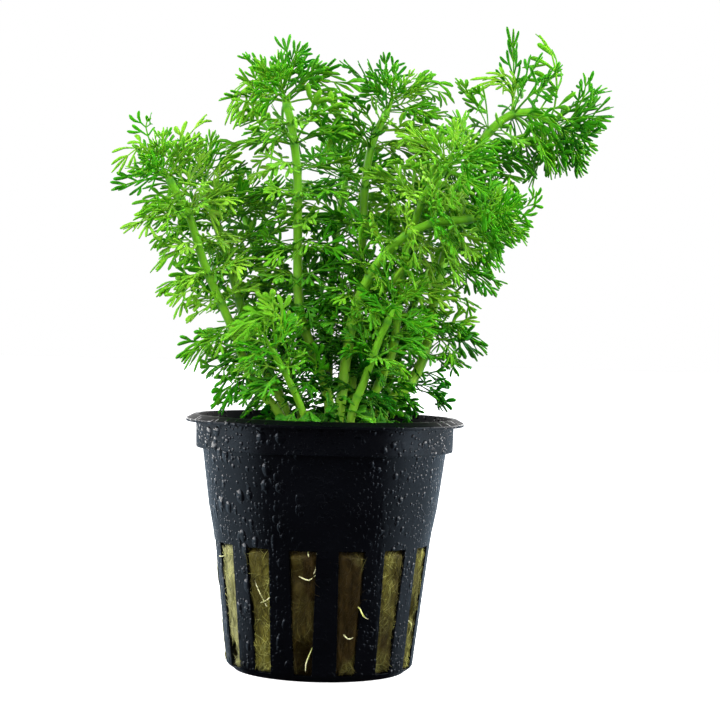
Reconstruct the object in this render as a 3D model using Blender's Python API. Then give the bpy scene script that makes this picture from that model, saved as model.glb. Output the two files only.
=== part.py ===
"""Potted dwarf ambulia: a slotted black pot, its mineral-wool plug and fourteen leafy stems.

Lengths are in millimetres and angles in degrees; finish() scales each piece to metres.
The origin is the centre of the pot's flat underside, +Z is up and the front is at -Y.
"""

import math
import random
from collections import namedtuple

import bmesh
import bpy
from mathutils import Matrix, Vector
from mathutils.bvhtree import BVHTree

MM = 0.001
UP = Vector((0, 0, 1))
GAP = 0.3  # clear room between pieces that rest on or in one another
SHARP = 35  # faces that meet at more than this keep a crisp edge

POT_COLOR = (0.012, 0.013, 0.016)
WOOL_COLOR = (0.23, 0.22, 0.06)
DEEP_GREEN = Vector((0.045, 0.2, 0.012))
YELLOW_GREEN = Vector((0.12, 0.32, 0.024))

# Pot: one moulded piece, radii and heights of its outside
WALL = 0.8
FLOOR = 0.9
BASE_RADIUS = 15.8  # the flat that the pot stands on
CORNER = (17.4, 0.7)  # on the rounding between the flat and the wall
SLOT_BOTTOM = (18.5, 1.6)
SLOT_TOP = (21.35, 25.6)
SHOULDER_LOW = (21.7, 28.0)
SHOULDER_HIGH = (22.6, 32.5)
COLLAR_HEIGHT = 43.9
NECK_RADIUS = 24.1  # wall just under the collar
COLLAR_RADIUS = 25.5
COLLAR_DRAFT = 0.1
FLANGE_RADIUS = 27.5
FLANGE_LOW = 49.0
FLANGE_HIGH = 49.6
LIP_RADIUS = 26.0
POT_HEIGHT = 50.4
MOUTH_RADIUS = 25.2

# Slots: each takes two steps of the turned wall, and the bar beside it takes one
SLOTS = 14
SLOT_PITCH = 360 / SLOTS
SLOT_ANGLE_TOP = 14.3
SLOT_ANGLE_BOTTOM = 11.0
SLOT_PHASE = -99.0  # one slot's middle, seen just left of the pot's front

# Mineral-wool plug
WOOL_STEPS = 24
WOOL_CLEARANCE = 0.45  # from the wall's inside radius, so that flat facets keep their gap too
WOOL_TOP = 46.0
WOOL_EDGE = 1.2  # rounding of the plug's upper edge
SOCKET_REACH = 1.0  # how far a socket's cutter stands above the plug

# Stems and leaves
STEM_SIDES = 5
STEM_SECTION = 9.0  # length between two rings of a stem
ROUTE_STEP = 0.5
HUB_HEIGHT = 1.0
HUB_INNER = 0.4  # from the stem's surface to the ridge inside a whorl's collar
HUB_OUTER = 0.85  # from the stem's surface to the collar's outside
BUD_SWELL = 1.1  # a bud's radius at its foot, as a share of the stem's
BUD_TAPER = 0.06
WHORL_FIRST = 7.5  # from a crown down to the first whorl
CROWN_ROWS = ((0.0, 1.2), (2.8, 3.7))  # heights of the two rows of leaves on a crown's bud
CROWN_TIP = 6.0
# Leaves of each kind: length as a share of the shoot's longest, rise from the stem's side, and droop
CROWN_OUTER = (0.95, 22, 0.1)
CROWN_INNER = (0.75, 52, 0.0)
WHORL_RISE = 18
WHORL_RISE_STEP = 6  # by which each lower whorl lies flatter
WHORL_DROOP = 0.25
LOW_RISE = 15
LOW_DROOP = 0.3
LOW_NODE = 13.0  # along a stem from its foot to the lower leaves that are one with it, at least
LOW_STAGGER = 2.6  # by which those leaves stand higher on one stem than on the next
LOW_RING = 2  # the ring just above those leaves, counted from the one above the foot
LOW_LEAF = 8.0
LOWER_LEAF_SHORTER = 0.06  # of a whorl's leaf length, for each whorl above it
RIB_WIDTH = 1.0  # of a leaf at its middle
RIB_DEPTH = 0.5
NEAR_LOBE = (0.14, 0.25)  # its tip past the leaf's middle and out to the side, as shares of the length
FAR_LOBE = (0.95, 0.15)  # its tip along the outer half of the rib, and out to the side
TAPER = 0.25  # of a stem's radius from its foot to its crown

# How a leaf finds its room among the others
CLEAR = 0.3  # least room between leaves of different pieces
SISTER_CLEAR = 0.05  # the same between leaves of one piece
SKIN_START = 0.15  # share of a leaf's inner half that lies at its own piece and is left untested
SIZE_SPREAD = (0.88, 1.08)
TURN_SPREAD = 9
TILT_SPREAD = 7
SHRINK = 0.045  # of its length at each further attempt
WIDEN = 0.3  # of its spread at each further attempt
SHORTEST_LEAF = 4.0
TRIES = 14

# name, radius at the foot, route from the foot to the growing tip, whorls, longest leaf
Shoot = namedtuple("Shoot", "name radius route whorls leaf")
SHOOTS = (
    Shoot("01", 0.95, ((-7.5, 0, 42), (-8.8, 0, 50), (-14.5, -1.5, 57), (-18.5, -3.5, 67),
                       (-24, -5.5, 79), (-27.5, -8, 89.5), (-31, -9.5, 95.5)), 3, 11),
    Shoot("02", 1.0, ((-6, 4, 42), (-8.3, 3, 52), (-15, 3, 64.5), (-19.5, 4, 78.5),
                      (-23.5, 5, 90), (-25, 5.5, 95)), 3, 11.5),
    Shoot("03", 1.0, ((0.5, -3, 42), (0.7, -3, 53), (-2.7, -3.4, 63), (-5.6, -3.7, 72),
                      (-6.2, -4, 85), (-6.6, -4.5, 98), (-8, -5, 107.5), (-9, -5, 111)), 4, 13.5),
    Shoot("04", 0.95, ((4.5, 5.5, 42), (5, 4.5, 54), (5.6, 4.5, 70), (6.5, 4.7, 85.5),
                       (6.8, 5, 98), (8.3, 5.4, 106), (10.5, 6, 111)), 3, 12.5),
    Shoot("05", 0.9, ((7.5, -2, 42), (8.5, -2, 52), (13, -3.5, 64), (14.5, -5.5, 80),
                      (18, -8, 93), (21.5, -10.5, 98.5)), 2, 12),
    Shoot("06", 1.05, ((9.5, 1, 42), (10.2, 1, 51), (16.5, 1.6, 57), (19.6, 2.4, 64), (21.5, 3.5, 76),
                       (25.5, 5, 93), (28.5, 6, 103.5), (34, 6.5, 110.5), (40, 7.5, 112.3),
                       (43.2, 8, 110.8)), 5, 15),
    Shoot("07", 1.05, ((1.5, -6.5, 42), (3, -6, 53), (3.9, -6.4, 62), (5.8, -7.6, 73),
                       (11, -10, 82.5), (18.5, -12, 88), (27, -13.6, 89.5)), 3, 11.5),
    Shoot("08", 0.85, ((4.6, -8.6, 42), (5.2, -8.6, 51), (7.6, -9.5, 58), (10.2, -10.8, 65.8),
                       (11.8, -12, 69.5)), 0, 10.5),
    Shoot("09", 0.85, ((11, 4.8, 42), (12, 5.2, 54), (14, 6.2, 63), (18, 8.5, 75), (24, 11, 86),
                       (28, 13, 90.5)), 2, 11.5),
    Shoot("10", 0.9, ((1, 9.5, 42), (0.5, 11, 54), (0, 14.5, 68), (1, 19.5, 86), (2.5, 24, 98)), 2, 12.5),
    Shoot("11", 0.85, ((-4, 8.5, 42), (-5.5, 10, 52), (-10, 14, 66), (-14.5, 18.5, 80),
                       (-18, 22, 90)), 2, 12),
    Shoot("12", 0.85, ((7.8, 9, 42), (9, 11, 53), (12, 15, 68), (16.5, 20.5, 83), (19.5, 24.5, 93)), 1, 12),
    Shoot("13", 0.75, ((-2.8, -6.6, 42), (-3.8, -8, 50), (-7, -11.5, 57.5), (-10, -14, 63)), 0, 10),
    Shoot("14", 0.7, ((2.6, 1.6, 42), (3.2, 1.5, 55), (3.4, 0.8, 66), (3.8, 0, 72)), 0, 9.5),
)

Leaf = namedtuple("Leaf", "root middle tip side lift lobes")


def smooth_route(points):
    """Close-set points, directions and sideways directions of a smooth curve through a few points."""
    knots = [Vector(p) for p in points]
    ends = [knots[0] * 2 - knots[1]] + knots + [knots[-1] * 2 - knots[-2]]
    curve = [knots[0]]
    for a, b, c, d in zip(ends, ends[1:], ends[2:], ends[3:]):
        steps = max(2, round((c - b).length / ROUTE_STEP))
        for i in range(1, steps + 1):
            t = i / steps
            curve.append(0.5 * (2 * b + (c - a) * t + (2 * a - 5 * b + 4 * c - d) * t**2
                                + (3 * b - a - 3 * c + d) * t**3))
    route, across, run = [], Vector((1, 0, 0)), 0.0
    for i, here in enumerate(curve):
        ahead = (curve[min(i + 1, len(curve) - 1)] - curve[max(i - 1, 0)]).normalized()
        across = (across - ahead * across.dot(ahead)).normalized()
        run += (here - curve[i - 1]).length if i else 0.0
        route.append((run, here, ahead, across))
    return route


def place_at(route, run):
    """Position, direction and sideways direction at a length along a route."""
    for before, after in zip(route, route[1:]):
        if after[0] >= run:
            t = (run - before[0]) / (after[0] - before[0])
            return before[1].lerp(after[1], t), after[2], after[3]
    return route[-1][1:]


def ring(place, radius, sides, up=0.0):
    """Corners of a regular polygon across a route, up millimetres further along it."""
    here, ahead, across = place
    over = ahead.cross(across)
    turns = [2 * math.pi * k / sides for k in range(sides)]
    return [here + ahead * up + (across * math.cos(t) + over * math.sin(t)) * radius for t in turns]


def polygon(bm, corners):
    return bm.faces.new([bm.verts.new(p) for p in corners])


def extrude_to(bm, face, corners):
    """Extrude a face, with its new corners in their order; gives the new end and the new sides."""
    end = bmesh.ops.extrude_discrete_faces(bm, faces=[face])["faces"][0]
    for vert, corner in zip(end.verts, corners):
        vert.co = corner
    return end, [loop.link_loop_radial_next.face for loop in end.loops]


def close_feet(bm):
    """Cap the open ends that extruding a lone polygon leaves behind."""
    bmesh.ops.holes_fill(bm, edges=[e for e in bm.edges if e.is_boundary], sides=STEM_SIDES)


def close_to_point(bm, face, point):
    """Draw a face out to a single point."""
    end, sides = extrude_to(bm, face, [point] * len(face.verts))
    bmesh.ops.pointmerge(bm, verts=list(end.verts), merge_co=point)
    return sides


def finish(name, bm, color, roughness):
    """Make a named object of a mesh drawn in millimetres, with a material of its own."""
    bmesh.ops.scale(bm, vec=(MM, MM, MM), verts=bm.verts)
    bmesh.ops.triangulate(bm, faces=bm.faces)
    bmesh.ops.recalc_face_normals(bm, faces=bm.faces)
    mesh = bpy.data.meshes.new(name)
    bm.to_mesh(mesh)
    bm.free()
    obj = bpy.data.objects.new(name, mesh)
    bpy.context.scene.collection.objects.link(obj)
    material = bpy.data.materials.new(name + "_finish")
    material.use_nodes = True
    shader = material.node_tree.nodes["Principled BSDF"]
    shader.inputs["Base Color"].default_value = (*color, 1)
    shader.inputs["Roughness"].default_value = roughness
    shader.inputs["Metallic"].default_value = 0.0
    mesh.materials.append(material)
    mesh.shade_smooth()
    mesh.set_sharp_from_angle(angle=math.radians(SHARP))
    return obj


def turned(profile, steps):
    """A closed round shape from radii and heights that start and end on the axis."""
    bm = bmesh.new()
    verts = [bm.verts.new((radius, 0, height)) for radius, height in profile]
    edges = [bm.edges.new(pair) for pair in zip(verts, verts[1:])]
    bmesh.ops.spin(bm, geom=verts + edges, cent=(0, 0, 0), axis=(0, 0, 1), dvec=(0, 0, 0),
                   angle=2 * math.pi, steps=steps, use_merge=True)
    bmesh.ops.remove_doubles(bm, verts=bm.verts, dist=1e-4)
    poles = [v for v in bm.verts if math.hypot(v.co.x, v.co.y) < 1e-3]
    bmesh.ops.dissolve_verts(bm, verts=poles)
    return bm


def wall_radius(height):
    """Radius of the pot's outside at a height between its corner and its collar."""
    marks = (SLOT_BOTTOM, SLOT_TOP, SHOULDER_LOW, SHOULDER_HIGH, (NECK_RADIUS, COLLAR_HEIGHT))
    for (r0, z0), (r1, z1) in zip(marks, marks[1:]):
        if height <= z1:
            return r0 + (r1 - r0) * (height - z0) / (z1 - z0)
    return NECK_RADIUS


def make_pot():
    outside = [(0, 0), (BASE_RADIUS, 0), CORNER, SLOT_BOTTOM, SLOT_TOP, SHOULDER_LOW, SHOULDER_HIGH,
               (NECK_RADIUS, COLLAR_HEIGHT), (COLLAR_RADIUS - COLLAR_DRAFT, COLLAR_HEIGHT),
               (COLLAR_RADIUS, FLANGE_LOW), (FLANGE_RADIUS, FLANGE_LOW), (FLANGE_RADIUS, FLANGE_HIGH),
               (LIP_RADIUS, POT_HEIGHT)]
    inside = [(MOUTH_RADIUS, POT_HEIGHT), (COLLAR_RADIUS - WALL, COLLAR_HEIGHT + WALL),
              (NECK_RADIUS - WALL, COLLAR_HEIGHT + WALL), (SLOT_TOP[0] - WALL, SLOT_TOP[1]),
              (SLOT_BOTTOM[0] - WALL, SLOT_BOTTOM[1]), (BASE_RADIUS, FLOOR), (0, FLOOR)]
    steps = 3 * SLOTS
    bm = turned(outside + inside, steps)
    space_columns(bm, steps)
    open_slots(bm)
    return finish("pot", bm, POT_COLOR, 0.3)


def slot_half_angle(height):
    """Half of a slot's width as an angle, which narrows towards the foot of the slot."""
    t = (height - SLOT_BOTTOM[1]) / (SLOT_TOP[1] - SLOT_BOTTOM[1])
    return (SLOT_ANGLE_BOTTOM + (SLOT_ANGLE_TOP - SLOT_ANGLE_BOTTOM) * min(max(t, 0.0), 1.0)) / 2


def space_columns(bm, steps):
    """Turn the even columns of the wall so that each slot's edges lie on two of them."""
    for vert in bm.verts:
        radius = math.hypot(vert.co.x, vert.co.y)
        column = round(math.degrees(math.atan2(vert.co.y, vert.co.x)) / (360 / steps)) % steps
        slot, edge = divmod(column, 3)
        angle = SLOT_PHASE + slot * SLOT_PITCH + (edge - 1) * slot_half_angle(vert.co.z)
        vert.co.x = radius * math.cos(math.radians(angle))
        vert.co.y = radius * math.sin(math.radians(angle))


def open_slots(bm):
    """Take the wall out of the slots, and line each opening with the wall's thickness."""
    for slot in range(SLOTS):
        panels = [f for f in bm.faces if in_slot(f.calc_center_median(), slot)]
        edges = dict.fromkeys(e for f in panels for e in f.edges)
        rims = [e for e in edges if len([f for f in e.link_faces if f in panels]) == 1]
        bmesh.ops.delete(bm, geom=panels, context="FACES")
        bmesh.ops.bridge_loops(bm, edges=rims)


def in_slot(point, slot):
    turn = math.degrees(math.atan2(point.y, point.x)) - SLOT_PHASE - slot * SLOT_PITCH
    turn = (turn + 180) % 360 - 180
    return abs(turn) < SLOT_ANGLE_TOP / 2 and SLOT_BOTTOM[1] < point.z < SLOT_TOP[1]


def make_wool(stems):
    """The plug that fills the pot, with a socket round the foot of each stem."""
    inner = WALL + WOOL_CLEARANCE
    low, high = FLOOR + GAP, WOOL_TOP - WOOL_EDGE
    profile = [(0, low), (BASE_RADIUS - WOOL_CLEARANCE, low),
               (SLOT_BOTTOM[0] - inner, SLOT_BOTTOM[1] + GAP), (SLOT_TOP[0] - inner, SLOT_TOP[1]),
               (wall_radius(high) - inner, COLLAR_HEIGHT), (NECK_RADIUS - inner - WOOL_EDGE, WOOL_TOP),
               (0, WOOL_TOP)]
    wool = finish("mineral_wool", turned(profile, WOOL_STEPS), WOOL_COLOR, 0.95)
    cutter = bmesh.new()
    for shoot, route in stems:
        foot, bend = route[0][1], place_at(route, ring_runs(shoot, route[-1][0])[0])[0]
        slope = (bend - foot) / (bend.z - foot.z)
        low, high = foot - slope * GAP, foot + slope * (WOOL_TOP + SOCKET_REACH - foot.z)
        half = shoot.radius + GAP
        square = [Vector((x * half, y * half, 0)) for x, y in ((-1, -1), (-1, 1), (1, 1), (1, -1))]
        floor = polygon(cutter, [low + corner for corner in square])
        extrude_to(cutter, floor, [high + corner for corner in square])
    close_feet(cutter)
    sockets = finish("stem_sockets", cutter, WOOL_COLOR, 1.0)
    sockets.hide_render = True
    sockets.display_type = "WIRE"
    cut = wool.modifiers.new("sockets", "BOOLEAN")
    cut.operation = "DIFFERENCE"
    cut.solver = "EXACT"
    cut.object = sockets
    return wool


def leaf_shape(root, out, ahead, length, rise, droop):
    """A leaf's three stations and its side lobes, as shares of its length along its rib."""
    heading = (out * math.cos(math.radians(rise)) + ahead * math.sin(math.radians(rise))).normalized()
    side = ahead.cross(out).normalized()
    middle = root + heading * length * 0.5
    tip = root + (heading - UP * droop).normalized() * length
    lobes = []
    for sign in (1, -1):
        near = middle + (heading * NEAR_LOBE[0] + side * sign * NEAR_LOBE[1]) * length
        far = middle.lerp(tip, FAR_LOBE[0]) + side * sign * FAR_LOBE[1] * length
        lobes.append((near, far))
    return Leaf(root, middle, tip, side, heading.cross(side).normalized(), lobes)


def leaf_skin(leaf, room):
    """The leaf's surface grown by a little room, as points and faces for the clearance test."""
    wide, thick = RIB_WIDTH / 2 + room, RIB_DEPTH / 2 + room
    start = leaf.root.lerp(leaf.middle, SKIN_START) if room else leaf.root
    points = [centre + leaf.side * wide * s + leaf.lift * thick * u
              for centre in (start, leaf.middle) for s in (-1, 1) for u in (-1, 1)]
    points.append(leaf.tip + (leaf.tip - leaf.middle).normalized() * room)
    faces = [(0, 2, 6, 4), (1, 5, 7, 3), (4, 6, 8), (7, 5, 8)]
    for right, (near, far) in zip((2, 0), leaf.lobes):
        sign = 1 if right else -1
        points += [near + leaf.side * sign * room, far + leaf.side * sign * room]
        n = len(points) - 2
        a, b, c, d = right, right + 1, right + 5, right + 4
        faces += [(a, b, n), (b, c, n), (c, d, n), (d, a, n), (d, c, n + 1), (c, 8, n + 1), (8, d, n + 1)]
    return points, faces


class Solid:
    """A shape to keep clear of, with a sphere round it that rules most others out at once."""

    def __init__(self, owner, points, faces, is_leaf=False):
        self.owner = owner
        self.is_leaf = is_leaf
        self.middle = sum(points, Vector()) / len(points)
        self.reach = max((p - self.middle).length for p in points)
        self.tree = BVHTree.FromPolygons(points, faces)

    def meets(self, other):
        near = (self.middle - other.middle).length < self.reach + other.reach
        return near and bool(self.tree.overlap(other.tree))


class Surroundings:
    """The solids that a new leaf must keep clear of."""

    def __init__(self):
        self.solids = []

    def add_mesh(self, owner, bm):
        points = [v.co.copy() for v in bm.verts]
        bm.verts.index_update()
        self.solids.append(Solid(owner, points, [[v.index for v in f.verts] for f in bm.faces]))

    def add_leaf(self, owner, leaf):
        self.solids.append(Solid(owner, *leaf_skin(leaf, 0.0), is_leaf=True))

    def clear_of(self, leaf, own):
        """Whether a leaf keeps off other pieces, and doesn't cross the leaves of its own."""
        roomy = Solid(own, *leaf_skin(leaf, CLEAR))
        close = Solid(own, *leaf_skin(leaf, SISTER_CLEAR))
        return not any(solid.meets(close) if solid.owner == own else solid.meets(roomy)
                       for solid in self.solids if solid.owner != own or solid.is_leaf)


def grow_leaf(face, ahead, length, rise, droop, around, owner, rng):
    """A leaf from a hub's outer face that clears what is there, or None where there is no room."""
    root = face.calc_center_median()
    out = face.normal - ahead * face.normal.dot(ahead)
    for attempt in range(TRIES):
        size = length * (rng.uniform(*SIZE_SPREAD) - SHRINK * attempt)
        if size < SHORTEST_LEAF:
            break
        wider = 1 + WIDEN * attempt
        turn = Matrix.Rotation(math.radians(rng.uniform(-1, 1) * TURN_SPREAD * wider), 3, ahead)
        tilt = rise + rng.uniform(-1, 1) * TILT_SPREAD * wider
        leaf = leaf_shape(root, (turn @ out).normalized(), ahead, size, tilt, droop)
        if around.clear_of(leaf, owner):
            around.add_leaf(owner, leaf)
            return leaf
    return None


def draw_leaf(bm, face, leaf):
    """Draw the leaf out of a face: two stations, the tip, and a lobe from each narrow side."""
    wide, thick = RIB_WIDTH / 2, RIB_DEPTH / 2
    centre = face.calc_center_median()
    corners = []
    for vert in face.verts:
        s = math.copysign(wide, (vert.co - centre).dot(leaf.side))
        u = math.copysign(thick, (vert.co - centre).dot(leaf.lift))
        corners.append(leaf.middle + leaf.side * s + leaf.lift * u)
    end, inner = extrude_to(bm, face, corners)
    under = [vert for vert in end.verts if (vert.co - leaf.middle).dot(leaf.lift) < 0]
    outer = close_to_point(bm, end, leaf.tip)
    for faces, station in ((inner, 0), (outer, 1)):
        for side in faces:
            side.normal_update()
            facing = side.normal.dot(leaf.side)
            if abs(facing) < abs(side.normal.dot(leaf.lift)):
                continue
            lobe = leaf.lobes[0 if facing > 0 else 1][station]
            bmesh.ops.poke(bm, faces=[side])["verts"][0].co = lobe
    bmesh.ops.pointmerge(bm, verts=under, merge_co=leaf.middle - leaf.lift * thick)


def leaf_color(owner):
    """A green of its own for each piece, between deep green and yellow-green."""
    return DEEP_GREEN.lerp(YELLOW_GREEN, random.Random("green " + owner).random())


def make_hub(place, radius):
    """A short collar round the stem, which a whorl's leaves grow from."""
    bm = bmesh.new()
    here, ahead, across = place
    inner, outer = radius + HUB_INNER, radius + HUB_OUTER
    for out, up in ((inner, 0), (outer, -HUB_HEIGHT / 2), (outer, HUB_HEIGHT / 2)):
        bm.verts.new(here + across * out + ahead * up)
    verts = list(bm.verts)
    edges = [bm.edges.new((verts[i], verts[(i + 1) % 3])) for i in range(3)]
    bmesh.ops.spin(bm, geom=verts + edges, cent=here, axis=ahead, dvec=(0, 0, 0),
                   angle=2 * math.pi, steps=STEM_SIDES, use_merge=True)
    bmesh.ops.remove_doubles(bm, verts=bm.verts, dist=1e-4)
    bmesh.ops.recalc_face_normals(bm, faces=bm.faces)
    bm.normal_update()
    return bm, [f for f in bm.faces if (f.calc_center_median() - here).dot(f.normal) > 0]


def make_bud(place, radius):
    """The growing tip that a crown's leaves grow from, in two rows."""
    bm = bmesh.new()
    face = polygon(bm, ring(place, radius, STEM_SIDES, GAP))
    rows = []
    heights = [h + GAP for row in CROWN_ROWS for h in row][1:]
    for number, height in enumerate(heights):
        corners = ring(place, radius * (1 - BUD_TAPER * number), STEM_SIDES, height)
        face, sides = extrude_to(bm, face, corners)
        if number % 2 == 0:
            rows.append(sides)
    close_to_point(bm, face, place[0] + place[1] * CROWN_TIP)
    close_feet(bm)
    bm.normal_update()
    return bm, rows


def low_run(shoot):
    """Length along a stem to its low leaves."""
    return LOW_NODE + LOW_STAGGER * (int(shoot.name) % 4)


def whorl_runs(shoot, length):
    """Lengths along a stem of its whorls, even from the top one down to the low leaves."""
    top = length - WHORL_FIRST
    return [top - (top - low_run(shoot)) * number / shoot.whorls for number in range(shoot.whorls)]


def ring_runs(shoot, length):
    """Lengths along a stem of its rings above the foot: two round the low leaves, one in each whorl."""
    low = low_run(shoot) - HUB_HEIGHT / 2
    upper = sorted(whorl_runs(shoot, length)) + [length]
    bare = upper[0] - low - HUB_HEIGHT
    sections = max(1, round(bare / STEM_SECTION))
    return [low / 2, low] + [low + HUB_HEIGHT + bare * k / sections for k in range(sections)] + upper


def make_stem(shoot, route, length):
    """A stem from its foot in the wool to just under its crown, and the faces of its low leaves."""
    bm = bmesh.new()
    face = polygon(bm, ring(route[0][1:], shoot.radius, STEM_SIDES))
    roots = []
    for number, run in enumerate(ring_runs(shoot, length)):
        corners = ring(place_at(route, run), stem_radius(shoot, run, length), STEM_SIDES)
        face, sides = extrude_to(bm, face, corners)
        if number == LOW_RING:
            roots = sides[::2]
    close_feet(bm)
    bm.normal_update()
    return bm, roots


def stem_radius(shoot, run, length):
    return shoot.radius * (1 - TAPER * run / length)


def leaf_row(bm, roots, ahead, length, rise, droop, around, owner, rng):
    """Grow a leaf from each root face that has room for one."""
    for face in roots:
        face.normal_update()
        leaf = grow_leaf(face, ahead, length, rise, droop, around, owner, rng)
        if leaf:
            draw_leaf(bm, face, leaf)


def main():
    for obj in list(bpy.data.objects):
        bpy.data.objects.remove(obj, do_unlink=True)
    around = Surroundings()
    stems = [(shoot, smooth_route(shoot.route)) for shoot in SHOOTS]
    pot = make_pot()
    wool = make_wool(stems)
    for obj in (pot, wool):
        points = [v.co / MM for v in obj.data.vertices]
        around.solids.append(Solid(obj.name, points, [list(p.vertices) for p in obj.data.polygons]))

    parts, low_leaves = [], []
    for shoot, route in stems:
        length = route[-1][0]
        stem, roots = make_stem(shoot, route, length)
        around.add_mesh("stem_" + shoot.name, stem)
        low_leaves.append(("stem_" + shoot.name, place_at(route, low_run(shoot))[1], stem, roots))
    crowns, whorls = [], []
    for shoot, route in stems:
        length = route[-1][0]
        bud, rows = make_bud(route[-1][1:], stem_radius(shoot, length, length) * BUD_SWELL)
        around.add_mesh("crown_" + shoot.name, bud)
        crowns.append((shoot, route[-1][2], bud, rows))
        for number, run in enumerate(whorl_runs(shoot, length)):
            place = place_at(route, run)
            name = "leaf_whorl_%s_%d" % (shoot.name, number + 1)
            hub, roots = make_hub(place, stem_radius(shoot, run, length))
            around.add_mesh(name, hub)
            whorls.append((shoot, name, number, place[1], hub, roots))
    for shoot, ahead, bud, rows in crowns:
        name = "crown_" + shoot.name
        rng = random.Random(name)
        for roots, (share, rise, droop) in zip(rows, (CROWN_OUTER, CROWN_INNER)):
            leaf_row(bud, roots, ahead, shoot.leaf * share, rise, droop, around, name, rng)
        parts.append((name, bud))
    for shoot, name, number, ahead, hub, roots in sorted(whorls, key=lambda w: w[2]):
        rng = random.Random(name)
        length = shoot.leaf * (1 - LOWER_LEAF_SHORTER * number)
        rise = WHORL_RISE - WHORL_RISE_STEP * number
        leaf_row(hub, roots, ahead, length, rise, WHORL_DROOP, around, name, rng)
        parts.append((name, hub))
    for name, ahead, stem, roots in low_leaves:
        leaf_row(stem, roots, ahead, LOW_LEAF, LOW_RISE, LOW_DROOP, around, name, random.Random(name))
        parts.append((name, stem))
    for name, bm in parts:
        finish(name, bm, leaf_color(name), 0.45)


main()
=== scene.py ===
"""Looks of the potted dwarf ambulia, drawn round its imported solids.

Pieces are drawn in millimetres and scaled to metres when they become objects.
+Z is up, the front is at -Y, and the origin is the centre of the pot's underside.
"""

import random
from collections import namedtuple
from math import atan2, copysign, cos, degrees, exp, hypot, pi, radians, sin

import bmesh
import bpy
import numpy as np
from mathutils import Matrix, Vector, noise


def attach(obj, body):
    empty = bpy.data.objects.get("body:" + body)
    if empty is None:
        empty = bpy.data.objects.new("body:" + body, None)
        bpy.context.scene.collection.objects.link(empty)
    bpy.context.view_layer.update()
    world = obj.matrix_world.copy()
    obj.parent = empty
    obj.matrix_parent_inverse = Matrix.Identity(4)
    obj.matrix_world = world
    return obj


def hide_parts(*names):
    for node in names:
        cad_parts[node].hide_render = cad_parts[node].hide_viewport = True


MM = 0.001
UP = Vector((0, 0, 1))

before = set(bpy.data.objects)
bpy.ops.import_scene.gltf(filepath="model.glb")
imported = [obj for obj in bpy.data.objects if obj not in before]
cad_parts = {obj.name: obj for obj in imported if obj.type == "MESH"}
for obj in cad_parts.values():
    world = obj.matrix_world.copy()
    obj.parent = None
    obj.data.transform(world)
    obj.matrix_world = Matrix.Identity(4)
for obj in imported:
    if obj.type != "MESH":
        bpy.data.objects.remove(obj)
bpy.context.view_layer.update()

# Pot, as the solid has it; pairs are a radius and a height
WALL = 0.8
FLOOR = 0.9
BASE_RADIUS = 15.8
CORNER = (17.4, 0.7)
SLOT_BOTTOM = (18.5, 1.6)
SLOT_TOP = (21.35, 25.6)
SHOULDER_LOW = (21.7, 28.0)
SHOULDER_HIGH = (22.6, 32.5)
COLLAR_HEIGHT = 43.9
NECK_RADIUS = 24.1
COLLAR_RADIUS = 25.5
FLANGE_RADIUS = 27.5
FLANGE_LOW = 49.0
FLANGE_HIGH = 49.6
LIP_RADIUS = 26.0
POT_HEIGHT = 50.4
MOUTH_RADIUS = 25.2
SLOTS = 14
SLOT_PITCH = 360 / SLOTS
SLOT_ANGLE_TOP = 14.3
SLOT_ANGLE_BOTTOM = 11.0
SLOT_PHASE = -99.0
SLOT_COLUMNS = 6  # of the finer wall, across one slot
BAR_COLUMNS = 4

# Wool plug
WOOL_GAP = 0.5  # from the wall's inside
WOOL_TOP = 46.0
PLUG_TOP_RADIUS = 20.5
PLUG_SLOT_COLUMNS = 14
PLUG_BAR_COLUMNS = 4
# One value per slot: real stains, with painted shade darkening the two front slots and painted light paling
# the far-left one
WOOL_STAINS_AND_PAINTED_LIGHT = (0.92, 0.82, 0.38, 0.1, 0.2, 0.5, 0.1, 0.3, 0.6, 0.2, 0.4, 0.1, -0.6, 0.1)  # paler below zero
FIBRES = (5200, 600)  # in the slots, and on the plug's top
FRINGE_SHARE = 6  # one in so many fibres of the slots is in the fringe at a slot's foot
FIBRE_RADII = (0.03, 0.065)
ROOT_RADII = (0.1, 0.17)

# Shoots, as the solids have them
TAPER = 0.25  # of a stem's radius, from its foot to its tip
WHORL_FIRST = 7.5  # from the tip
LOW_NODE = 13.0  # from the foot to a stem's own leaves
LOW_STAGGER = 2.6
HUB_REACH = 1.15  # vertices within this of a stem's surface belong to a whorl's collar
BUD_REACH = 0.6
BUD_LENGTH = 6.0

# Stems and leaves as drawn; a leaf of a higher tone is paler
STEM_SIDES = 12
STEM_STEP = 0.45
JOINT_LENGTH = 0.55  # over which a stem is thicker where leaves join it
JOINT_SWELL = 0.16  # by this share of its radius
RIDGES = 4  # along a stem
RIDGE_HEIGHT = 0.05  # as a share of its radius
CROWN_LEAVES = 14  # young ones at a shoot's tip, besides those of its solid
BETWEEN_LEAVES = 6  # round a stem, halfway from one whorl to the next
FOOT_LEAVES = 22
FOOT_START = 4.0  # how far up its stem the lowest of them stands
FOOT_STEP = 1.05
BROAD_FOOT_LEAVES = 8  # the lowest ones
FEATHERY_LENGTH = 9.0  # leaves beside a whorl's own are sparse up to this length
SPIRAL = 2.4  # radians from one leaf round a stem to the next
WHOLE_TURN = 6.28  # radians
FULL_WIDTH_LENGTH = 9.0  # longer leaves are narrower for their length
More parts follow.
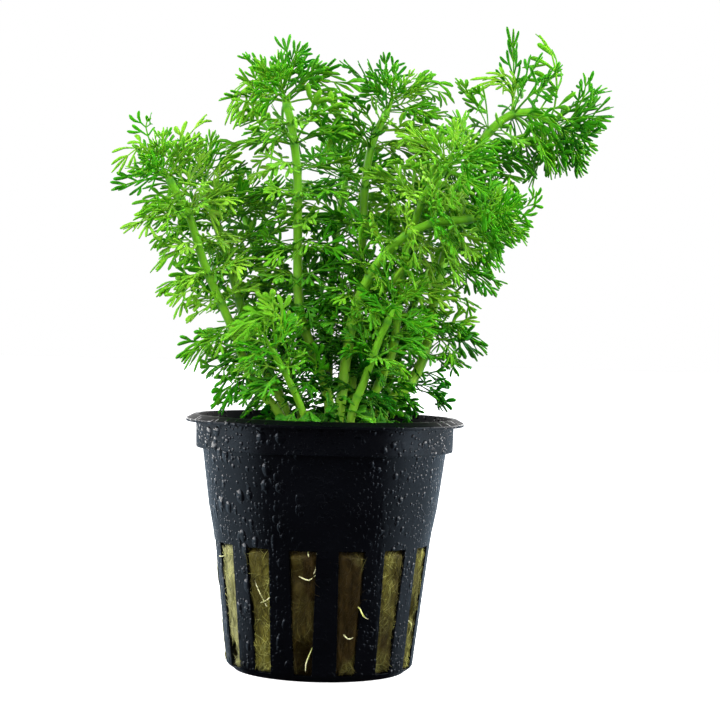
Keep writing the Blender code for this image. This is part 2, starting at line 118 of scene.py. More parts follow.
# Painted shade: leaves whose tips are near the pot's axis are darker, as the foliage round them shades them;
# further out the tone only shifts a little
TONE_REACH = (0.0, 9.0, 18.0, 26.0, 34.0)  # of a leaf's tip from the pot's axis
TONE_AND_SHADE_ADDED = (-0.26, -0.19, 0.05, 0.02, -0.08)  # to a leaf's tone, at each of these
TONE_SPREAD = 0.08
CROWN_TONE = 0.41
YOUNG_TONES = (0.4, 0.12)  # of the lowest of a tip's young leaves, and how much paler they get upwards
WHORL_TONE = 0.53
WHORL_DARKER = 0.03  # from each whorl to the next below it
BETWEEN_TONES = (0.46, 0.2)  # at a stem's foot, and how much paler they get upwards
STEM_LEAF_TONE = 0.26
# Painted shade: low leaves are darker, as the foliage above them shades them
SHADE_BELOW_HEIGHT = 72.0  # leaves below this height are darker, the lower the darker
# Painted shade: shoots at the back are darker, as those in front shade them
BACK_PLACE = 8.0  # shoots whose tips are further back than this are darker
BACK_SHADE = -0.16

# Kinds of leaves: how many forms, pairs of side lobes, then as shares of a leaf's length its bare stalk,
# its side lobes' reach and its blades' width, and how many pairs are forked
LEAF_KINDS = {
    "feathery": (24, (3, 3, 4), (0.2, 0.32), (0.4, 0.5), (0.056, 0.07), (2, 2, 3)),
    "young": (8, 3, 0.2, (0.32, 0.42), (0.05, 0.07), 1),
    "sparse": (16, 2, (0.24, 0.36), (0.4, 0.52), (0.07, 0.09), 2),
    "lobed": (6, (2, 3), (0.26, 0.36), (0.34, 0.42), (0.075, 0.09), 3),
    "broad": (8, (1, 2, 2), (0.3, 0.42), (0.3, 0.4), (0.18, 0.26), 1),
}

# Beads of the wet finish: cells a metre, how tall for their width, share of cells that hold one,
# their least and greatest radius in cells, and how steeply they rise
Beads = namedtuple("Beads", "cells tall share smallest largest rise")
RIM_BEADS = Beads(900.0, 1.0, 0.6, 0.15, 0.42, 1.0)
FINE_BEADS = Beads(1150.0, 1.0, 0.55, 0.12, 0.42, 2.2)
MEDIUM_BEADS = Beads(560.0, 1.1, 0.45, 0.12, 0.38, 4.2)
LARGE_BEADS = Beads(300.0, 1.3, 0.75, 0.12, 0.34, 7.5)
LONG_RUNS = Beads(230.0, 2.4, 0.4, 0.1, 0.22, 11.0)
BEAD_ROUNDNESS = 0.8
BEAD_EDGE = 0.12  # height from which the surface counts as a bead

CAMERA_PLACE = (0.0066, -0.435, 0.0694)
CAMERA_LENS = 109.75
CAMERA_TILT = 90 - 1.018
CAMERA_ROLL = 1.45

Shoot = namedtuple("Shoot", "name radius route whorls leaf")
SHOOTS = (
    Shoot("01", 0.95, ((-7.5, 0, 42), (-8.8, 0, 50), (-14.5, -1.5, 57), (-18.5, -3.5, 67), (-24, -5.5, 79),
        (-27.5, -8, 89.5), (-31, -9.5, 95.5)), 3, 11),
    Shoot("02", 1.0, ((-6, 4, 42), (-8.3, 3, 52), (-15, 3, 64.5), (-19.5, 4, 78.5), (-23.5, 5, 90),
        (-25, 5.5, 95)), 3, 11.5),
    Shoot("03", 1.0, ((0.5, -3, 42), (0.7, -3, 53), (-2.7, -3.4, 63), (-5.6, -3.7, 72), (-6.2, -4, 85),
        (-6.6, -4.5, 98), (-8, -5, 107.5), (-9, -5, 111)), 4, 13.5),
    Shoot("04", 0.95, ((4.5, 5.5, 42), (5, 4.5, 54), (5.6, 4.5, 70), (6.5, 4.7, 85.5), (6.8, 5, 98),
        (8.3, 5.4, 106), (10.5, 6, 111)), 3, 12.5),
    Shoot("05", 0.9, ((7.5, -2, 42), (8.5, -2, 52), (13, -3.5, 64), (14.5, -5.5, 80), (18, -8, 93),
        (21.5, -10.5, 98.5)), 2, 12),
    Shoot("06", 1.05, ((9.5, 1, 42), (10.2, 1, 51), (16.5, 1.6, 57), (19.6, 2.4, 64), (21.5, 3.5, 76),
        (25.5, 5, 93), (28.5, 6, 103.5), (34, 6.5, 110.5), (40, 7.5, 112.3), (43.2, 8, 110.8)), 5, 15),
    Shoot("07", 1.05, ((1.5, -6.5, 42), (3, -6, 53), (3.9, -6.4, 62), (5.8, -7.6, 73), (11, -10, 82.5),
        (18.5, -12, 88), (27, -13.6, 89.5)), 3, 11.5),
    Shoot("08", 0.85, ((4.6, -8.6, 42), (5.2, -8.6, 51), (7.6, -9.5, 58), (10.2, -10.8, 65.8),
        (11.8, -12, 69.5)), 0, 10.5),
    Shoot("09", 0.85, ((11, 4.8, 42), (12, 5.2, 54), (14, 6.2, 63), (18, 8.5, 75), (24, 11, 86),
        (28, 13, 90.5)), 2, 11.5),
    Shoot("10", 0.9, ((1, 9.5, 42), (0.5, 11, 54), (0, 14.5, 68), (1, 19.5, 86), (2.5, 24, 98)), 2, 12.5),
    Shoot("11", 0.85, ((-4, 8.5, 42), (-5.5, 10, 52), (-10, 14, 66), (-14.5, 18.5, 80), (-18, 22, 90)), 2,
        12),
    Shoot("12", 0.85, ((7.8, 9, 42), (9, 11, 53), (12, 15, 68), (16.5, 20.5, 83), (19.5, 24.5, 93)), 1, 12),
    Shoot("13", 0.75, ((-2.8, -6.6, 42), (-3.8, -8, 50), (-7, -11.5, 57.5), (-10, -14, 63)), 0, 10),
    Shoot("14", 0.7, ((2.6, 1.6, 42), (3.2, 1.5, 55), (3.4, 0.8, 66), (3.8, 0, 72)), 0, 9.5),
)

Leaf = namedtuple("Leaf", "root middle tip side kind tone")

# Single leaves that stand out on each shoot, as (foot, middle, tip, tone), with their kind if not feathery
SINGLE_LEAVES = {
    "03": (
        ((-8.9, -4.7, 112.8), (-2.5, -5.5, 116), (3.8, -7, 114), 0.55),
        ((-8.5, -4.7, 111.7), (-2.0, -7, 112.4), (3.5, -9, 110), 0.5),
        ((-12.3, -4.9, 117.2), (-16.9, -6, 114.3), (-19.7, -8, 107.4), 0.45),
        ((-10.1, -4.7, 113.2), (-15.2, -8, 111.8), (-18.9, -11, 106.0), 0.5),
    ),
    "04": (
        ((14.4, 5.5, 113.1), (18.9, 5, 116.3), (22.6, 4, 113.1), 0.45),
    ),
    "01": (
        ((-30.1, -7.5, 100.2), (-27.8, -8, 104.5), (-24.4, -8, 108.6), 0.6, "lobed"),
        ((-32.5, -9, 101.6), (-37.2, -10, 101.7), (-42.0, -11, 97.1), 0.55),
        ((-33.4, -9.5, 102.8), (-35.8, -10, 105.6), (-35.0, -10, 107.5), 0.5),
        ((-27.3, -5, 91.0), (-31.8, -8, 92.3), (-37.0, -11, 88.9), 0.6),
        ((-25.9, -5, 87.2), (-30.5, -8, 86.5), (-34.3, -10, 82.3), 0.55),
        ((-23.6, -4.5, 81.0), (-28.4, -8, 82.7), (-33.1, -11, 78.6), 0.6),
        ((-20.3, -3.5, 72.8), (-25.6, -7, 75.0), (-29.8, -10, 71.4), 0.6),
        ((-16.8, -2.5, 64.1), (-21.9, -6, 65.4), (-26.3, -9, 60.2), 0.6),
        ((-12.5, -1, 55.7), (-16.7, -5, 57.6), (-20.7, -8, 52.6), 0.5, "lobed"),
    ),
    "06": (
        ((36.0, 6.5, 110.5), (34.9, 5, 117.9), (27.3, 3, 116.1), 0.55),
        ((44.9, 7.7, 112.4), (44.7, 7.5, 120.1), (41.2, 7, 127.5), 0.45),
        ((47.7, 8, 112.1), (50.1, 8, 115.4), (50.1, 8, 120.3), 0.45),
        ((20.5, 2.5, 68.0), (24.7, -1, 69.7), (29.7, -4, 69.8), 0.5),
        ((20.5, 2.5, 67.0), (23.6, -1, 65.1), (24.6, -3, 60.8), 0.5),
    ),
    "07": (
        ((35.2, -13, 89.1), (38.1, -14, 92.4), (38.7, -15, 96.0), 0.4),
        ((7.2, -8, 80.1), (6.0, -10, 83.7), (6.4, -11, 87.8), 0.6, "lobed"),
    ),
    "13": (
        ((0.2, -7.2, 57.5), (-2.0, -10, 60.5), (-6.2, -13, 63.5), 0.56, "lobed"),
        ((-5.7, -13, 65.6), (-8.8, -15, 68.8), (-12.9, -16, 73.0), 0.5, "lobed"),
        ((-5.7, -13, 65.6), (-11.1, -16, 69.5), (-17.7, -18, 65.9), 0.54, "lobed"),
    ),
}

# Roots seen in the slots, as (degrees round the pot from its front, height, how far it stands out)
ROOTS = (
    ((-36, 14.6, 0.5), (-34.5, 15.1, 0.8), (-30.4, 15.7, 1.0), (-25.6, 17.2, 0.7)),
    ((-40, 21.2, 0.7), (-36.9, 18.4, 0.9), (-33.1, 15.8, 0.8), (-29.3, 13.4, 0.6)),
    ((-12, 20.8, 0.5), (-8.3, 20.3, 0.9), (-5.6, 20.1, 1.0), (-3.4, 20.7, 0.9), (-0.1, 21.6, 0.5)),
    ((-2.5, 26.0, 0.3), (-1.2, 24.0, 0.8), (-2.3, 22.0, 1.0), (-5.6, 20.1, 0.8)),
    ((-6.8, 25.6, 0.4), (-5.7, 24.3, 0.8), (-3.5, 22.8, 0.5)),
    ((-3.3, 7.1, 0.5), (-5.1, 5.6, 0.8), (-6.9, 4.0, 0.8), (-7.5, 2.2, 0.5)),
    ((-13, 9.9, 0.5), (-10, 10.7, 0.8), (-6.5, 11.9, 0.6)),
    ((19.5, 15.2, 0.2), (22.4, 14.9, 1.2), (23.4, 13.9, 1.9), (24.6, 13.2, 2.1), (27.3, 12.7, 1.9)),
    ((11.6, 10.6, 0.5), (14.4, 9.7, 0.8), (17.6, 8.8, 1.0), (20.7, 9.1, 0.9), (23, 9.2, 0.4)),
    ((-76, 23.2, 0.6), (-70, 22.8, 1.3), (-65, 23.1, 0.9)),
    ((66, 11.4, 0.4), (70, 10.2, 0.9), (68, 8.6, 0.7)),
)


# Materials

def new_material(name):
    material = bpy.data.materials.new(name)
    material.use_nodes = True
    return material, material.node_tree


def feed(tree, node, inputs):
    """Link the inputs of a node that come from sockets, and set the constant ones."""
    for socket, value in inputs.items():
        if isinstance(value, bpy.types.NodeSocket):
            tree.links.new(value, node.inputs[socket])
        else:
            node.inputs[socket].default_value = value
    return node


def shaded(material, inputs):
    """A material whose one Principled shader is fed."""
    feed(material.node_tree, material.node_tree.nodes["Principled BSDF"], inputs)
    return material


def add_node(tree, kind, inputs=None, **settings):
    node = tree.nodes.new("ShaderNode" + kind)
    for name, value in settings.items():
        setattr(node, name, value)
    return feed(tree, node, inputs or {})


def ramp(tree, factor, stops):
    """A colour ramp from (position, colour) stops; gives its colour socket."""
    node = add_node(tree, "ValToRGB", {"Fac": factor})
    elements = node.color_ramp.elements
    while len(elements) < len(stops):
        elements.new(0.5)
    for element, (position, color) in zip(elements, stops):
        element.position = position
        element.color = (*color, 1)
    return node.outputs["Color"]


def math_node(tree, operation, a, b=0.0, c=0.5, clamp=False):
    return add_node(tree, "Math", {0: a, 1: b, 2: c}, operation=operation, use_clamp=clamp).outputs[0]


def times(tree, a, b):
    return math_node(tree, "MULTIPLY", a, b)


def plus(tree, a, b):
    return math_node(tree, "ADD", a, b)


def scaled(tree, vector, scale):
    return add_node(tree, "VectorMath", {0: vector, "Scale": scale}, operation="SCALE").outputs["Vector"]


def map_range(tree, value, low, high, to_low, to_high):
    """A value from low to high, spread from to_low to to_high and held there."""
    inputs = dict(enumerate((value, low, high, to_low, to_high)))
    return add_node(tree, "MapRange", inputs).outputs["Result"]


def noise_at(tree, place, scale, detail):
    inputs = {"Vector": place, "Scale": scale, "Detail": detail}
    return add_node(tree, "TexNoise", inputs).outputs["Fac"]


def channels(tree, name):
    """An attribute's alpha, and its three colour channels."""
    tone = add_node(tree, "Attribute", attribute_name=name).outputs
    return tone["Alpha"], add_node(tree, "SeparateColor", {"Color": tone["Color"]}).outputs


def mix_colors(tree, factor, color, other):
    """A colour mixed with another that is constant."""
    return add_node(tree, "Mix", {0: factor, 6: color, 7: (*other, 1)}, data_type="RGBA").outputs[2]


def bump(tree, height, strength, distance):
    inputs = {"Height": height, "Strength": strength, "Distance": distance}
    return add_node(tree, "Bump", inputs).outputs["Normal"]


def object_place(tree, scale=(1, 1, 1)):
    coords = add_node(tree, "TexCoord").outputs["Object"]
    return add_node(tree, "Mapping", {"Vector": coords, "Scale": scale}).outputs["Vector"]


def speckle_group():
    """Shared effect: soft mottling of a colour by a noise of the given scale."""
    group = bpy.data.node_groups.new("mottling", "ShaderNodeTree")
    for name, kind, way in (
            ("Color", "Color", "INPUT"), ("Vector", "Vector", "INPUT"), ("Scale", "Float", "INPUT"),
            ("Amount", "Float", "INPUT"), ("Color", "Color", "OUTPUT"), ("Value", "Float", "OUTPUT")):
        group.interface.new_socket(name=name, socket_type="NodeSocket" + kind, in_out=way)
    given = group.nodes.new("NodeGroupInput").outputs
    speckle = noise_at(group, given["Vector"], given["Scale"], 3)
    gain = plus(group, times(group, math_node(group, "SUBTRACT", speckle, 0.5), given["Amount"]), 1.0)
    color = scaled(group, given["Color"], gain)
    feed(group, group.nodes.new("NodeGroupOutput"), {"Color": color, "Value": speckle})
    return group


MOTTLING = speckle_group()


def mottled(tree, color, place, scale, amount):
    """A colour with the shared mottling, and the mottling's noise."""
    inputs = {"Color": color, "Vector": place, "Scale": scale, "Amount": amount}
    return add_node(tree, "Group", inputs, node_tree=MOTTLING).outputs


def leaf_material():
    """Thin living leaf: its tone, which carries painted shade, nearness to a rib and upper side come from
    leaf_tone.
    """
    material, tree = new_material("leaf_green")
    upper, tone = channels(tree, "leaf_tone")
    green = ramp(tree, tone["Red"], ((0.0, (0.004, 0.055, 0.002)), (0.35, (0.024, 0.175, 0.003)),
                                     (0.7, (0.16, 0.35, 0.024)), (1.0, (0.3, 0.5, 0.1))))
    paler_rib = math_node(tree, "SUBTRACT", 0.28, tone["Blue"], clamp=True)
    paler_rib = times(tree, paler_rib, times(tree, tone["Red"], 1.7))
    green = mix_colors(tree, paler_rib, green, (0.24, 0.44, 0.03))
    under = math_node(tree, "SUBTRACT", 1.0, upper, clamp=True)
    green = mix_colors(tree, times(tree, under, 0.25), green, (0.09, 0.3, 0.03))
    green, cells = mottled(tree, green, object_place(tree), 420, 0.45)
    return shaded(material, {
        "Base Color": green, "Roughness": math_node(tree, "MULTIPLY_ADD", cells, 0.3, 0.38),
        "Normal": bump(tree, cells, 0.1, 0.0002), "Specular IOR Level": 0.06,
        "Subsurface Weight": 0.45, "Subsurface Scale": 0.0009, "Subsurface Radius": (0.6, 1.0, 0.1)})


def stem_material():
    """Juicy pale stem with darker rings where its leaves join, from stem_tone."""
    material, tree = new_material("stem_green")
    _, tone = channels(tree, "stem_tone")
    flesh = ramp(tree, tone["Green"], ((0.0, (0.32, 0.5, 0.11)), (0.15, (0.2, 0.42, 0.03)),
                                       (0.6, (0.13, 0.35, 0.014)), (1.0, (0.11, 0.32, 0.012))))
    flesh = mix_colors(tree, tone["Red"], flesh, (0.045, 0.2, 0.02))
    flesh, cells = mottled(tree, flesh, object_place(tree, (1, 1, 0.15)), 900, 0.5)
    return shaded(material, {
        "Base Color": flesh, "Roughness": 0.36, "Normal": bump(tree, cells, 0.3, 0.0002),
        "Specular IOR Level": 0.3, "Subsurface Weight": 0.4, "Subsurface Scale": 0.0012,
        "Subsurface Radius": (0.6, 1.0, 0.12)})


def wool_material():
    """Wet mineral wool: olive straw with brown peat stains, from wool_tone; painted shade darkens its
    hollows and front slots, and painted light pales its far-left slot.
    """
    material, tree = new_material("wet_wool")
    _, tone = channels(tree, "wool_tone")
    straw = ramp(tree, tone["Red"], ((0.0, (0.007, 0.0055, 0.001)), (0.35, (0.042, 0.035, 0.004)),
                                     (0.7, (0.135, 0.125, 0.018)), (1.0, (0.4, 0.4, 0.11))))
    peat = map_range(tree, noise_at(tree, object_place(tree, (1, 1, 0.5)), 105.0, 4.0), 0.46, 0.66, 0.0, 0.6)
    # Real peat stains, plus painted shade on the front slots
    stain_and_painted_shade = math_node(tree, "ADD", peat, tone["Green"], clamp=True)
    # Painted light: the far-left slot is made paler
    pale = math_node(tree, "MULTIPLY", tone["Green"], -0.6, clamp=True)
    straw = mix_colors(tree, pale, straw, (0.45, 0.45, 0.24))
    straw = mix_colors(tree, stain_and_painted_shade, straw, (0.016, 0.01, 0.002))
    straw, strands = mottled(tree, straw, object_place(tree, (1, 1, 0.3)), 1100, 1.9)
    straw, _ = mottled(tree, straw, object_place(tree), 160, 0.9)
    return shaded(material, {"Base Color": straw, "Roughness": 0.6, "Specular IOR Level": 0.25,
                             "Normal": bump(tree, strands, 0.8, 0.0006)})


def root_material():
    material, tree = new_material("root_flesh")
    patches = noise_at(tree, object_place(tree), 300, 2.0)
    return shaded(material, {
        "Base Color": ramp(tree, patches, ((0.3, (0.5, 0.55, 0.16)), (0.6, (0.75, 0.74, 0.42)))),
        "Roughness": 0.35, "Subsurface Weight": 0.3, "Subsurface Scale": 0.001,
        "Subsurface Radius": (0.8, 1.0, 0.5)})


def unrolled(tree, place):
    """Distance round the pot and height, as flat coordinates."""
    x, y, z = add_node(tree, "SeparateXYZ", {0: place}).outputs
    turn = math_node(tree, "ARCTAN2", x, times(tree, y, -1.0))
    around = times(tree, turn, SHOULDER_HIGH[0] * MM)
    return add_node(tree, "CombineXYZ", {"X": around, "Y": z}).outputs["Vector"]


def bead_layer(tree, flat, beads):
    """Height of the beads of one size class on a wet surface."""
    place = add_node(tree, "Mapping", {"Vector": flat, "Scale": (1, 1 / beads.tall, 1)}).outputs["Vector"]
    cells = add_node(tree, "TexVoronoi", {"Vector": place, "Scale": beads.cells, "Randomness": 1.0},
                     voronoi_dimensions="2D").outputs
    pick = add_node(tree, "SeparateColor", {"Color": cells["Color"]}).outputs["Red"]
    empty = 1.0 - beads.share
    size = times(tree, map_range(tree, pick, empty, 1.0, beads.smallest, beads.largest),
                 math_node(tree, "GREATER_THAN", pick, empty))
    near = math_node(tree, "SUBTRACT", math_node(tree, "POWER", size, 2.0),
                     math_node(tree, "POWER", cells["Distance"], 2.0), clamp=True)
    return times(tree, math_node(tree, "POWER", near, BEAD_ROUNDNESS), beads.rise)


def uneven_black(tree, place):
    wear = noise_at(tree, place, 110.0, 4.0)
    return ramp(tree, wear, ((0.3, (0.0003, 0.0004, 0.0007)), (0.75, (0.001, 0.0012, 0.0018))))


def rim_material():
    """The duller plastic of the rim's top and the pot's inside, with fine beads only."""
    material, tree = new_material("dull_black_plastic")
    place = object_place(tree)
    beads = bead_layer(tree, unrolled(tree, place), RIM_BEADS)
    return shaded(material, {
        "Base Color": uneven_black(tree, place), "Roughness": map_range(tree, beads, 0.0, 0.1, 0.5, 0.12),
        "Normal": bump(tree, beads, 0.9, 0.0006), "Specular IOR Level": 0.1})


def pot_material():
    """Black gloss plastic with a wet, beaded finish and a faintly drawn surface."""
    material, tree = new_material("wet_black_plastic")
    place = object_place(tree)
    flat = unrolled(tree, place)
    fine, medium, large, long_runs = (bead_layer(tree, flat, beads) for beads in (
        FINE_BEADS, MEDIUM_BEADS, LARGE_BEADS, LONG_RUNS))
    sideways = add_node(tree, "SeparateXYZ", {0: place}).outputs["X"]
    wetter_left = map_range(tree, sideways, -0.012, 0.004, 1.0, 0.15)
    aside = map_range(tree, math_node(tree, "ABSOLUTE", sideways), 0.007, 0.018, 0.45, 1.0)
    height = plus(tree, times(tree, plus(tree, fine, medium), aside),
                  times(tree, plus(tree, large, long_runs), wetter_left))
    height = plus(tree, height, times(tree, noise_at(tree, place, 260.0, 3.0), 0.06))
    beaded = math_node(tree, "GREATER_THAN", height, BEAD_EDGE)
    return shaded(material, {
        "Base Color": uneven_black(tree, place), "Roughness": map_range(tree, beaded, 0.0, 1.0, 0.2, 0.06),
        "Normal": bump(tree, height, 0.9, 0.0004), "Specular IOR Level": 0.55})


# Making pieces

def as_piece(obj, material, nodes=()):
    """Give a finished object its material, its body and the solids it stands for."""
    obj.data.materials.clear()
    obj.data.materials.append(material)
    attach(obj, "root")
    if nodes:
        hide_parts(*nodes)


def linked_object(name, data):
    obj = bpy.data.objects.new(name, data)
    bpy.context.scene.collection.objects.link(obj)
    return obj


def object_from_bmesh(name, bm, sharp=180):
    bmesh.ops.scale(bm, vec=(MM, MM, MM), verts=bm.verts)
    mesh = bpy.data.meshes.new(name)
    bm.to_mesh(mesh)
    bm.free()
    mesh.shade_smooth()
    if sharp < 180:
        mesh.set_sharp_from_angle(angle=radians(sharp))
    return linked_object(name, mesh)


Form = namedtuple("Form", "points faces upper")


def form_of(bm):
    """A small shape's points and faces, to be bent and laid many times."""
    bm.verts.index_update()
    points = np.array([v.co for v in bm.verts])
    faces = [[v.index for v in f.verts] for f in bm.faces]
    side = bm.verts.layers.float.get("upper")
    upper = np.array([v[side] if side else 0.0 for v in bm.verts])
    bm.free()
    return Form(points, faces, upper)


def joined(name, copies, attribute):
    """One mesh from many laid copies of small shapes, with a four-channel attribute on its points."""
    points, faces, tones, start = [], [], [], 0
    for form, laid, tone in copies:
        points.append(laid)
        tones.append(tone)
        faces += [[start + i for i in face] for face in form.faces]
        start += len(laid)
    mesh = bpy.data.meshes.new(name)
    mesh.from_pydata((np.vstack(points) * MM).tolist(), [], faces)
    layer = mesh.attributes.new(attribute, "FLOAT_COLOR", "POINT")
    layer.data.foreach_set("color", np.vstack(tones).astype(np.float32).ravel())
    mesh.shade_smooth()
    return linked_object(name, mesh)


def disc(bm, corners):
    """A round face of radius one."""
    ring = bmesh.ops.create_circle(bm, cap_ends=True, segments=corners, radius=1.0)["verts"]
    return ring[0].link_faces[0]


def extrude(bm, face):
    """Extrude a face without moving its new end; gives that end and the new sides."""
    end = bmesh.ops.extrude_discrete_faces(bm, faces=[face])["faces"][0]
    return end, [loop.link_loop_radial_next.face for loop in end.loops]


def close_ends(bm):
    """Fill open ends and turn all faces outward."""
    bmesh.ops.holes_fill(bm, edges=[e for e in bm.edges if e.is_boundary], sides=0)
    bmesh.ops.recalc_face_normals(bm, faces=bm.faces)


# Routes of the shoots

def smooth_route(points, step=0.5):
    """Lengths, points, directions and sideways directions along a smooth curve through a few points."""
    knots = [Vector(p) for p in points]
    ends = [knots[0] * 2 - knots[1]] + knots + [knots[-1] * 2 - knots[-2]]
    curve = [knots[0]]
    for a, b, c, d in zip(ends, ends[1:], ends[2:], ends[3:]):
        steps = max(2, round((c - b).length / step))
        for i in range(1, steps + 1):
            t = i / steps
            curve.append(0.5 * (2 * b + (c - a) * t + (2 * a - 5 * b + 4 * c - d) * t**2
                                + (3 * b - a - 3 * c + d) * t**3))
    route, across, run = [], Vector((1, 0, 0)), 0.0
    for i, here in enumerate(curve):
        ahead = (curve[min(i + 1, len(curve) - 1)] - curve[max(i - 1, 0)]).normalized()
        across = (across - ahead * across.dot(ahead)).normalized()
        run += (here - curve[i - 1]).length if i else 0.0
        route.append((run, here, ahead, across))
    return route


def place_at(route, run):
    """Position, direction and sideways direction at a length along a route."""
    for before, after in zip(route, route[1:]):
        if after[0] >= run:
            t = (run - before[0]) / (after[0] - before[0])
            return before[1].lerp(after[1], t), after[2], after[3]
    here, ahead, across = route[-1][1:]
    return here + ahead * (run - route[-1][0]), ahead, across


def low_run(shoot):
    return LOW_NODE + LOW_STAGGER * (int(shoot.name) % 4)


def whorl_runs(shoot, length):
    top = length - WHORL_FIRST
    return [top - (top - low_run(shoot)) * number / shoot.whorls for number in range(shoot.whorls)]


def whorl_name(shoot, number):
    return "leaf_whorl_%s_%d" % (shoot.name, number + 1)


def stem_radius(shoot, run, length):
    return shoot.radius * (1 - TAPER * min(run / length, 1))


# Leaves

def thin_run(bm, face, stations, across, thick):
    """Extrude a thin end face through (centre, half width) stations; gives each stretch's side faces."""
    upper = bm.verts.layers.float["upper"]
    stretches = []
    for centre, half_width in stations:
        end, sides = extrude(bm, face)
        old = end.calc_center_median()
        for vert in end.verts:
            s = copysign(half_width, (vert.co - old).dot(across))
            vert.co = centre + across * s + UP * (thick * vert[upper])
        stretches.append(sides)
        face = end
    return stretches


def narrow_sides(sides, across):
    """The two edges of a thin stretch, each with the way that it faces: 1 or -1 along across."""
    chosen = []
    for side in sides:
        side.normal_update()
        facing = side.normal.dot(across)
        if abs(facing) > 0.7:
            chosen.append((side, copysign(1, facing)))
    return chosen


def square_to(heading):
    return Vector((-heading.y, heading.x, 0)).normalized()


def curved_stations(root, heading, length, bend, shares):
    """Stations along a blade that curves towards its leaf's tip, from (share of length, half width)."""
    across = square_to(heading) * copysign(bend, heading.x)
    return [(root + (heading * share + across * share**2) * length, half) for share, half in shares]


def draw_blade(bm, face, heading, length, width, thick, rng):
    """A narrow blade out of the edge of a leaf: widest at its middle, with a rounded tip."""
    shape = ((0.5, width * 0.47), (0.86, width * 0.44), (1, width * 0.14))
    stations = curved_stations(face.calc_center_median(), heading, length, rng.uniform(0, 0.25), shape)
    thin_run(bm, face, stations, square_to(heading), thick)


def draw_branch(bm, face, heading, reach, width, thick, rng):
    """A side branch of a leaf: a thin neck, a fork with side blades, and a blade at its end."""
    root = face.calc_center_median()
    across = square_to(heading)
    fork = rng.uniform(0.36, 0.5)
    shape = ((fork, width * 0.3), (fork + 0.1, width * 0.33), (0.75, width * 0.5), (0.93, width * 0.44),
             (1, width * 0.14))
    stations = curved_stations(root, heading, reach, rng.uniform(0, 0.2), shape)
    stretches = thin_run(bm, face, stations, across, thick)
    for side, facing in narrow_sides(stretches[1], across):
        if rng.random() < 0.7:
            way = Matrix.Rotation(facing * radians(rng.uniform(30, 48)), 3, "Z") @ heading
            way.z += rng.uniform(-0.3, 0.3)
            draw_blade(bm, side, way.normalized(), reach * rng.uniform(0.5, 0.72), width * 0.95, thick, rng)


def divided_leaf(rng, pairs, petiole, reach, width, forked):
    """A feather-cut leaf one unit long that lies along +Y with its face up."""
    bm = bmesh.new()
    upper = bm.verts.layers.float.new("upper")
    thick = 0.009
    half = 0.016
    corners = (-half, 0, -thick), (-half, 0, thick), (half, 0, thick), (half, 0, -thick)
    face = bm.faces.new([bm.verts.new(p) for p in corners])
    for vert in face.verts:
        vert[upper] = copysign(1, vert.co.z)
    base = min(width * 0.55, 0.045)
    step = (0.9 - petiole - base) / (pairs - 0.35)
    stations = [petiole * 0.5]
    for number in range(pairs):
        start = petiole + step * number
        stations += [start, start + base]
    sway = rng.uniform(-0.02, 0.02)
    rib = [(Vector((sway * sin(9 * y), y, 0)), half * (1.2 - 0.6 * y)) for y in stations]
    rib += [(Vector((0, 0.9, 0)), width * 0.48), (Vector((0, 1.02, 0)), width * 0.18)]
    stretches = thin_run(bm, face, rib, Vector((1, 0, 0)), thick)
    for number in range(pairs):
        for side, facing in narrow_sides(stretches[2 + 2 * number], Vector((1, 0, 0))):
            angle = radians(rng.uniform(34, 50) + 8 * number)
            heading = Vector((facing * cos(angle), sin(angle), rng.uniform(-0.3, 0.4)))
            share = (1 - 0.45 * (number / pairs) ** 1.4) * rng.uniform(0.78, 1.12)
            draw, long = (draw_branch, 1.0) if number < forked else (draw_blade, 0.9)
            broad = width * rng.uniform(0.85, 1.15)
            draw(bm, side, heading.normalized(), reach * share * long, broad, thick, rng)
    close_ends(bm)
    return form_of(bm)


def drawn_from(rng, choice):
    """One of some whole numbers, a value between two ends, or a fixed value as it is."""
    if isinstance(choice, tuple):
        return rng.choice(choice) if isinstance(choice[0], int) else rng.uniform(*choice)
    return choice


def leaf_forms():
    """Leaves of each kind, a good number of each so that no two neighbours are alike."""
    rng = random.Random("leaf forms")
    return {kind: [divided_leaf(rng, *[drawn_from(rng, choice) for choice in choices]) for _ in range(count)]
            for kind, (count, *choices) in LEAF_KINDS.items()}


